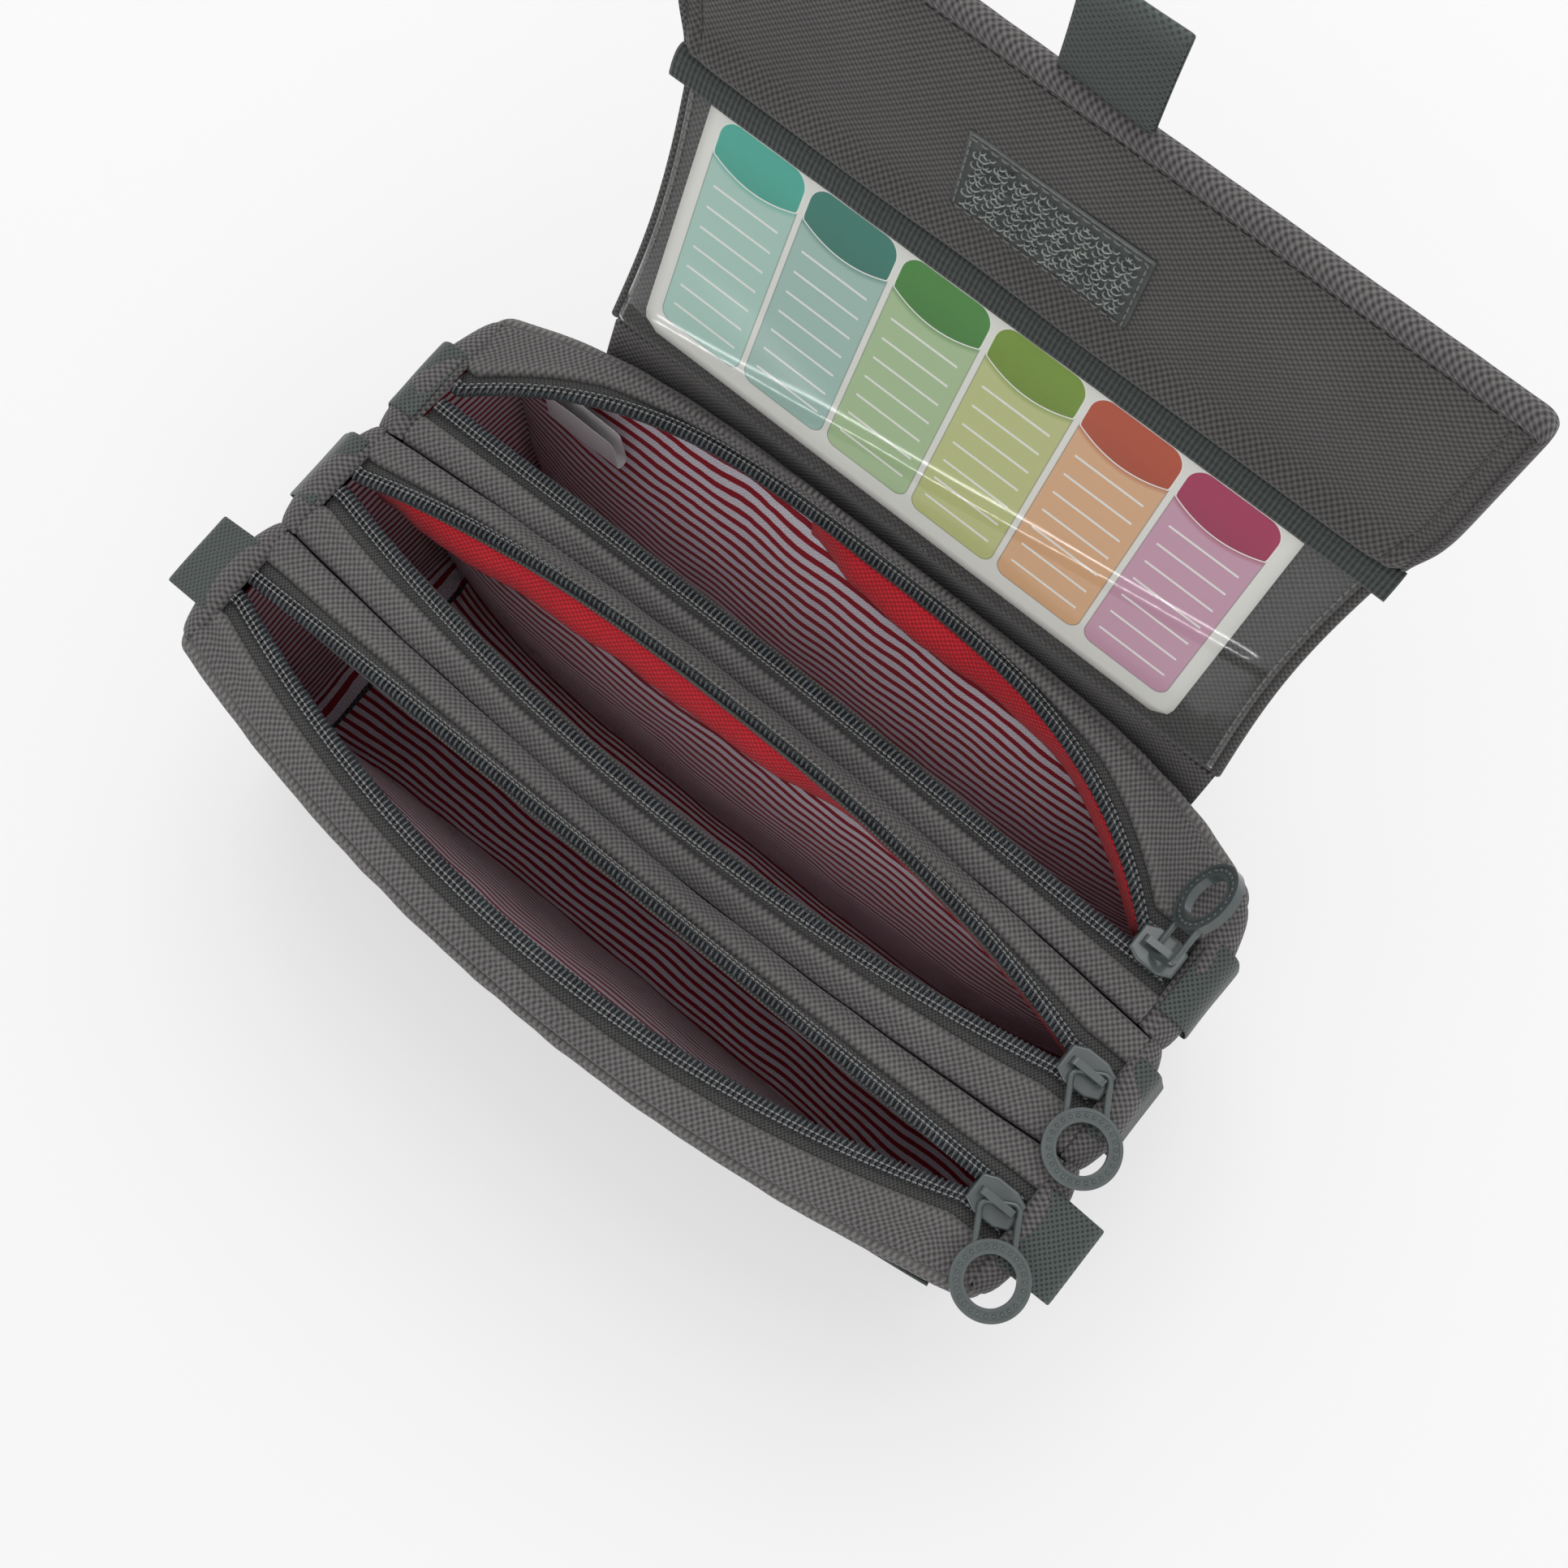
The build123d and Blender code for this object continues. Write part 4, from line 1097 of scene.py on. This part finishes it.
def printedCard():
    # the timetable behind the window, its corners rounded
    wide, tall, corner = card["wide"], card["tall"], card["corner"]
    rows, uvs = [], []
    for v in spread(0, tall, 30):
        drop = max(corner - v, 0)
        cut = corner - math.sqrt(max(corner ** 2 - drop ** 2, 0)) if drop else 0
        places = [(across, v) for across in spread(cut, wide - cut, 60)]
        xs = [card["shift"] - wide / 2 + across for across, _ in places]
        rows.append([onInner(x, card["start"] + v, 1.15 + 0.12 * ripple(x, v, 0, 40, 6)) for x in xs])
        uvs.append(places)
    material = newMaterial("coatedPrintedCard", offsetPrint)
    sheet = gridPiece("timetableCard", rows, material, uvs, thickness=0.25)
    sewn(sheet, "flap", "card")


film = {
    "rise": 1.7,             # out of the flap's face
    "slack": 0.6, "wave": 0.35,
    "crease": 0.5, "creaseWide": 1.5, "creaseSlope": 0.16, "creaseFoot": (-74.0, 9.0),
    "bulge": 2.0, "bulgeTop": 21.0, "bulgeSoft": 4.4,      # it gathers at the bottom
}


def windowFilm():
    # a clear sheet, slack in its seams, with one long crease from its lower left corner
    shares = spread(-1, 1, 120)

    def height(x, s, share):
        edge = math.sin(math.pi / 2 * max(min((1 - abs(share)) * 9, (s - 1.6) / 5, 1), 0))
        upper = min((65.5 - s) / 40, 1)
        wave = film["wave"] * ripple(x * 0.3, s * 0.7, 0, 36, 12) * upper
        footX, footS = film["creaseFoot"]
        fromCrease = (s - footS) - (x - footX) * film["creaseSlope"]
        crease = film["crease"] * math.exp(-(fromCrease / film["creaseWide"]) ** 2)
        fromBulge = s - film["bulgeTop"] - 6 * ripple(x, 0, 0, 38, 3)
        bulge = film["bulge"] / (1 + math.exp(fromBulge / film["bulgeSoft"]))
        return film["rise"] + edge * (film["slack"] * upper + wave + crease + bulge)

    rows, uvs = [], []
    for s in spread(2.2, 65.2, 70):
        xs = [(innerHalf(s) - 1.5) * share for share in shares]
        rows.append([onInner(x, s, height(x, s, share)) for x, share in zip(xs, shares)])
        uvs.append([(x, s) for x in xs])
    window = gridPiece("windowFilm", rows, pvcFilm, uvs, thickness=0.25)
    sewn(window, "flap", "window")
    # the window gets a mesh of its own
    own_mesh(window)


ribbon = {"start": 63.5, "wide": 5.0, "rise": 2.6, "crown": 0.35, "overhang": 2.5}


def foldRibbon():
    # closes the window's upper edge and marks the fold of the flap
    half = flap["width"] / 2 + ribbon["overhang"]

    def height(x, s):
        crown = ribbon["crown"] * math.sin(math.pi * ((s - ribbon["start"]) / ribbon["wide"]))
        return ribbon["rise"] + crown + 0.12 * ripple(x, s, 0, 8, 2)

    # folded in half along its length, the fold towards the card
    profile = [(68.5, -0.55), (67, -0.6), (65.4, -0.6), (64, -0.55), (63.4, -0.3), (63.4, 0.0), (64, 0.1),
               (65, 0.0), (66.2, 0.0), (67.4, 0.0), (68.5, 0.0), (69.3, -0.3), (69.8, -0.9), (69.9, -1.5)]
    xs = spread(-half, half, 120)
    rows = [[onInner(x, s, height(x, s) + n) for x in xs] for s, n in profile]
    uvs = [[(x, k) for x in xs] for k in range(len(profile))]
    piece = gridPiece("foldRibbon", rows, grosgrain, uvs, thickness=0.4, grow=0)
    clothOn("flap", "fold_ribbon", piece)
    for k, s in enumerate((64.3, 67.7)):
        line = [onInner(x, s, height(x, s) + 0.05) for x in spread(-half + 1, half - 1, 90)]
        sewn(stitches(f"foldRibbonStitches{k}", line, darkThread, outOfFlap, 2.2, 1.5, 0.16), "flap")


pad = {
    "start": 0.5, "rim": 3.3,        # the seam in front lies this far in from the free edge
    "sideShare": 0.28,               # and this much of that at the two sides
    "front": 0.9, "back": -4.6,      # how far it swells out to each side
    "overFold": 2.9, "sideSeam": 5.0,
}


def outerSection():
    # padded tip: facing and cover over foam. The cover rolls round the free edge to a
    # seam in front, and at the two sides the facing runs out to the edge.
    tall, corner = flap["outer"], flap["cornerRound"]
    start, rim, sideShare = pad["start"], pad["rim"], pad["sideShare"]

    def edgeAt(s, inset):
        # half width at s of a line that lies in from the edge by inset
        return outerHalf(s) - inset * sideShare

    def inside(x, s):
        # how far a point lies in from the edge
        gaps = [outerHalf(s) - abs(x), tall - s]
        dx, ds = abs(x) - (outerHalf(s) - corner), s - (tall - corner)
        if dx > 0 and ds > 0:
            gaps.append(corner - math.hypot(dx, ds))
        return max(min(gaps), 0)

    def outline(steps, inset):
        # points round the free edge, from the fold up one side and down the other
        right = [(edgeAt(s, inset), s) for s in spread(start + 0.8, tall - corner, steps)]
        for a in range(10, 91, 10):
            c, sn = math.cos(math.radians(a)), math.sin(math.radians(a))
            middle = outerHalf(tall) - corner
            right.append((middle + (corner - inset * sideShare) * c, tall - corner + (corner - inset) * sn))
        top = [(x, tall - inset) for x in spread(-right[-1][0], right[-1][0], 2 * steps)[1:-1]]
        return [(-x, s) for x, s in right] + top + right[::-1]

    def swellFront(x, s):
        # full over the foam and over the fold, and drawn in along the seams of the sides
        gap, fromSide = inside(x, s), outerHalf(s) - abs(x)
        crown = 1 - math.exp(-max(min(gap - 0.8, tall - rim - s + 1), 0) / 5.0)
        overFold = pad["overFold"] * math.exp(-((s - 2.6) / 4.2) ** 2) * min(max(fromSide, 0) / 4 + 0.3, 1)
        overFold -= 0.55 * math.exp(-((fromSide - pad["sideSeam"]) / 0.9) ** 2) * min(s / 5, 1)
        nose = 1 - math.exp(-(s - start) / 0.5)
        soft = 0.45 * ripple(x, s, 0, 30, 5) * crown + 0.2 * ripple(x, s, 0, 7, 1) * max(0, 1 - gap / 12)
        return 0.5 * nose + (pad["front"] * crown + overFold + soft) * nose

    def swellBack(x, s):
        crown = 1 - math.exp(-inside(x, s) / 6.0)
        return pad["back"] + 1.6 * (1 - crown) + 0.5 * ripple(x, s, 0, 34, 9) * crown

    shares = alongCase(1, 100)

    def clipped(share, s, inset):
        # pull a grid point in to the rounded corners
        x = share * edgeAt(s, inset)
        reachX, reachS = corner - inset * sideShare, corner - inset
        dx, ds = abs(x) - (outerHalf(s) - corner), s - (tall - corner)
        if dx > 0 and ds > 0 and reachS > 0:
            away = math.hypot(dx / reachX, ds / reachS)
            if away > 1:
                x = math.copysign(outerHalf(s) - corner + dx / away, x)
                s = tall - corner + ds / away
        return x, s

    for name, node, inset, rise, material in (
            ("outerFlapFacing", "outer_facing", rim, swellFront, shadeDarkenedOxford),
            ("outerFlapCover", "outer_cover", 1.5, swellBack, bodyOxford)):
        rows, uvs = [], []
        for f in [math.sin(math.pi / 2 * i / 52) ** 1.3 for i in range(53)]:
            places = [clipped(share, start + (tall - inset - start) * f, inset) for share in shares]
            rows.append([onOuter(x, s, rise(x, s)) for x, s in places])
            uvs.append(places)
        piece = gridPiece(name, rows, material, uvs, thickness=0.5, flip=rise is swellBack)
        clothOn("flap_tip", node, piece)
    # rolled edge: from the cover's rim round the foam and down into the seam in front
    turns = [(1.5, -3.0), (0.5, -2.4), (-0.05, -1.2), (-0.05, 0.2), (0.6, 1.1), (1.4, 1.4), (2.3, 1.2),
             (3.0, 0.6), (3.4, 0.1)]
    rows = [[onOuter(x, s, n + 0.12 * ripple(x, s, 0, 6, 3)) for x, s in outline(26, inset)]
            for inset, n in turns]
    edge = gridPiece("outerFlapRolledEdge", rows, bodyOxford, thickness=0.5)
    sewn(edge, "flap_tip", "outer_foam")
    seams = {"": [(x, tall - rim - 1.0) for x in spread(2.5 - outerHalf(tall), outerHalf(tall) - 2.5, 60)]}
    for sign, label in ((-1, "Left"), (1, "Right")):
        seams[label] = [(sign * (outerHalf(s) - pad["sideSeam"]), s)
                        for s in spread(3.0, tall - rim - 2.5, 30)]
    for label, places in seams.items():
        line = [onOuter(x, s, swellFront(x, s) + 0.1) for x, s in places]
        sewn(stitches(f"outerFlap{label}Stitches", line, darkThread, outOfTip, 2.8, 2.0, 0.17), "flap_tip")
    # the fold end of the pad
    half = outerHalf(start) - 0.6
    rows = [[onOuter(x, start + 0.2, n) for x in spread(half, -half, 60)]
            for n in (0.2, -0.4, -1.6, -2.8, -3.6)]
    sewn(gridPiece("outerFlapFoldEdge", rows, shadeDarkenedOxford, thickness=0.4, grow=1), "flap_tip")


hooks = {
    "wide": 40.0, "tall": 20.0, "shift": -1.5, "start": 10.5,
    "columns": 8, "lines": 12,       # a column is three hooks wide
    "hookTall": 0.95, "filament": 0.17,
}


def hookPatch():
    # woven base with a flat selvage, rows of cut loops on it
    wide, tall, shift, start = hooks["wide"], hooks["tall"], hooks["shift"], hooks["start"]

    def lift(x, s):
        return 1.75 + 0.25 * ripple(x, s, 0, 12, 7)

    xs, ss = spread(shift - wide / 2, shift + wide / 2, 38), spread(start, start + tall, 18)
    places = [[(x, s) for x in xs] for s in ss]
    rows = [[onOuter(x, s, lift(x, s)) for x, s in row] for row in places]
    base = gridPiece("hookPatchBase", rows, hookWeave, places, thickness=0.4)
    sewn(base, "flap_tip", "hook_patch")
    points, faces = [], []
    for i in range(hooks["columns"] * 3):
        for j in range(hooks["lines"]):
            # three hooks side by side make a column that runs up in a zigzag
            zigzag = 0.8 if j % 2 else -0.8
            column = shift - wide / 2 + 2.0 + (wide - 4.0) * (i // 3 + 0.5) / hooks["columns"]
            x = column + (i % 3 - 1) * 1.15 + 0.45 * zigzag
            s = start + 2.2 + (tall - 4.4) * (j + 0.5) / hooks["lines"]
            x += 0.7 * ripple(x, s, 0, 1.3, 2)
            s += 0.5 * ripple(x, s, 0, 1.7, 9)
            up = hooks["hookTall"] + 0.25 * ripple(x, s, 0, 2.1, 5)
            side = 1 if (i + j) % 3 else -1
            path = [(-0.35, 0), (-0.4, 0.55), (-0.15, 0.95), (0.25, 0.95), (0.45, 0.6), (0.4, 0.3)]
            line = [onOuter(x + side * a * 1.3 + zigzag * 0.3 * b, s + zigzag * a, lift(x, s) + up * b)
                    for a, b in path]
            tubeMesh(line, hooks["filament"], 4, points, faces)
    sewn(makePiece("hookPatchHooks", points, faces, hookNylon), "flap_tip")
    x0, x1, s0, s1 = xs[0] + 0.9, xs[-1] - 0.9, ss[0] + 0.9, ss[-1] - 0.9
    corners = [(x0, s0), (x1, s0), (x1, s1), (x0, s1), (x0, s0)]
    line = [onOuter(xa + (xb - xa) * f, sa + (sb - sa) * f, 2.15)
            for (xa, sa), (xb, sb) in zip(corners, corners[1:]) for f in spread(0, 1, 16)]
    sewn(stitches("hookPatchStitches", line, greyThread, outOfTip, 2.2, 1.5, 0.18), "flap_tip")


def pullLoop():
    # folded webbing to pull the flap open with
    wide, shift, start = 20.0, -1.5, flap["outer"] - 2.5
    profile = [(0, -1.0), (4, -1.2), (9, -1.35), (14, -1.4), (19, -1.4), (23.7, -1.35), (24.8, -1.2),
               (25.3, -0.6), (24.9, 0.1), (23.8, 0.3), (19, 0.2), (14, 0.1), (9, 0.2), (4, 0.1), (0, -0.1)]
    rows, wear = [], []
    for s, n in profile:
        row = []
        for share in spread(-0.5, 0.5, 14):
            x = shift + wide * share * (1 - 0.03 * math.sin(math.pi * s / 27))
            row.append(onOuter(x, start + s, n - 0.6 + 0.5 * ripple(x, s, 0, 18, 3) + 0.03 * s))
        rows.append(row)
        wear.append([0.5 if s > 22.5 else 0.05] * len(row))
    piece = gridPiece("flapPullLoop", rows, webbing, thickness=0.55, wear=wear, grow=0, soften=1)
    clothOn("flap_tip", "pull_loop", piece)


def flapBase():
    # cloth sewn to the back panel's top, and the folds on each side of the inner section
    half = flap["width"] / 2
    _, hingeY, hingeZ = flap["hinge"]

    def baseY(x, z):
        share = min(max((z - 80) / 15.4, 0), 1)
        onPanel = seamY(3, x, min(z, 92)) + 2.0
        return onPanel + (hingeY + 0.6 - onPanel) * share ** 1.6 + 0.2 * ripple(x, z, 0, 15, 3)

    rows = [[(x, baseY(x, z), z) for x in spread(half, -half, 90)]
            for z in (80.3, 82, 84.5, 87, 89.5, 92, 93.4, 94.4)]
    base = gridPiece("flapBaseCloth", rows, bodyOxford, thickness=0.9, grow=1)
    clothOn("case", "flap_base", base)
    xs = spread(half - 0.4, -half + 0.4, 90)
    rows = [[(x, hingeY + out + 0.1 * ripple(x, z, 0, 6, 1), z) for x in xs]
            for z, out in ((93.2, 0.95), (94.3, 1.0), (95.3, 1.1), (96.1, 1.35))]
    rows += [[onInner(x, s, -1.35 + 0.1 * ripple(x, s, 0, 6, 1)) for x in xs] for s in (0.6, 1.6, 2.8, 4.2)]
    fold = gridPiece("flapFoldCloth", rows, bodyOxford, thickness=0.4, grow=1)
    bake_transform(fold)
    # the fold between the two sections of the flap, on the outside
    xs = spread(half, -half, 90)
    rows = [[onInner(x, s, -1.3) for x in xs] for s in (64.5, 66.0, 67.5, 68.8)]
    rows += [[onOuter(x, s, -1.5 - 0.35 * s) for x in xs] for s in (1.4, 2.8, 4.4, 6.0)]
    tip = gridPiece("tipFoldCloth", rows, bodyOxford, thickness=0.4, grow=1)
    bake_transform(tip)


print("flap")
innerSection()
printedCard()
windowFilm()
foldRibbon()
outerSection()
hookPatch()
pullLoop()
flapBase()


print("sliders and ring pulls")
for name in pouchNames:
    for part in ("slider", "pull"):
        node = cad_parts[f"{name}_{part}"]
        node.data.materials.clear()
        node.data.materials.append(enamel)


# Studio

studio = {
    "floor": "#f1f1f1",
    "background": "#f9f9f9",
    "floorGlow": 0.5,    # share of the background's white in the floor round the case
    "farFloor": (0.6, 2.0),      # metres from the case over which the floor turns all white
    "sweep": 6.0,
    "sky": "#ffffff",
    "skyStrength": 0.78,
    "aim": (0, 0, 0.08),
    "lights": {          # place and size in metres, power in watts
        "keyLight": ((-0.25, 0.65, 1.35), (1.1, 1.1), 8.0),
        "fillLight": ((0.9, -0.9, 1.1), (1.2, 1.2), 3.0),
        "stripLight": ((-0.2, -1.3, 0.24), (0.9, 0.13), 4.2),     # its streaks show on the window
    },
}


def paperSweep(tree):
    # Matt white paper: it takes the case's shadow, and it turns into the plain background
    # further off.
    shade = addNode(tree, "BsdfDiffuse", {"Color": hexColour(studio["floor"])})
    glow = addNode(tree, "Emission", {"Color": hexColour(studio["background"])})
    place = addNode(tree, "TexCoord", {}, "Object")
    away = addNode(tree, "VectorMath", {"operation": "LENGTH", 0: place}, "Value")
    near, far = studio["farFloor"]
    white = addNode(tree, "MapRange", {"interpolation_type": "SMOOTHSTEP", 0: away, 1: near, 2: far,
                                       3: studio["floorGlow"], 4: 1.0})
    seen = addNode(tree, "LightPath", {}, "Is Camera Ray")
    return addNode(tree, "MixShader", {0: addRow(tree, "Math", seen, ("MULTIPLY", white)), 1: shade, 2: glow})


def softSky(tree):
    # an even white room, seen by the camera as the background
    sky, backdrop = studio["skyStrength"], hexColour(studio["background"])[0]
    seen = addNode(tree, "LightPath", {}, "Is Camera Ray")
    level = addRow(tree, "Math", seen, ("MULTIPLY_ADD", backdrop - sky, sky))
    return addNode(tree, "Background", {"Color": hexColour(studio["sky"]), "Strength": level})


def studioSet():
    # pale sweep, a broad soft light from above and behind, and a weak fill
    size = studio["sweep"] / 2 / toMetres
    floor = makePiece("studioFloor", [(-size, -size, 0), (size, -size, 0), (size, size, 0), (-size, size, 0)],
                      [(0, 1, 2, 3)], newMaterial("matteStudioFloor", paperSweep), smooth=False)
    for name, (place, (wide, tall), power) in studio["lights"].items():
        light = bpy.data.lights.new(name, "AREA")
        light.shape, light.size, light.size_y, light.energy = "RECTANGLE", wide, tall, power
        lamp = bpy.data.objects.new(name, light)
        lamp.location = place
        lamp.rotation_euler = (Vector(studio["aim"]) - Vector(place)).to_track_quat("-Z", "Y").to_euler()
        bpy.context.scene.collection.objects.link(lamp)
        if name == "stripLight":        # seen in glossy things only, it doesn't light the cloth
            lamp.visible_diffuse = lamp.visible_camera = False
    bpy.context.scene.world = withNodes(bpy.data.worlds.new("softRoom"), "OutputWorld", softSky)


print("studio")
studioSet()
bpy.context.scene.view_settings.view_transform = "Standard"
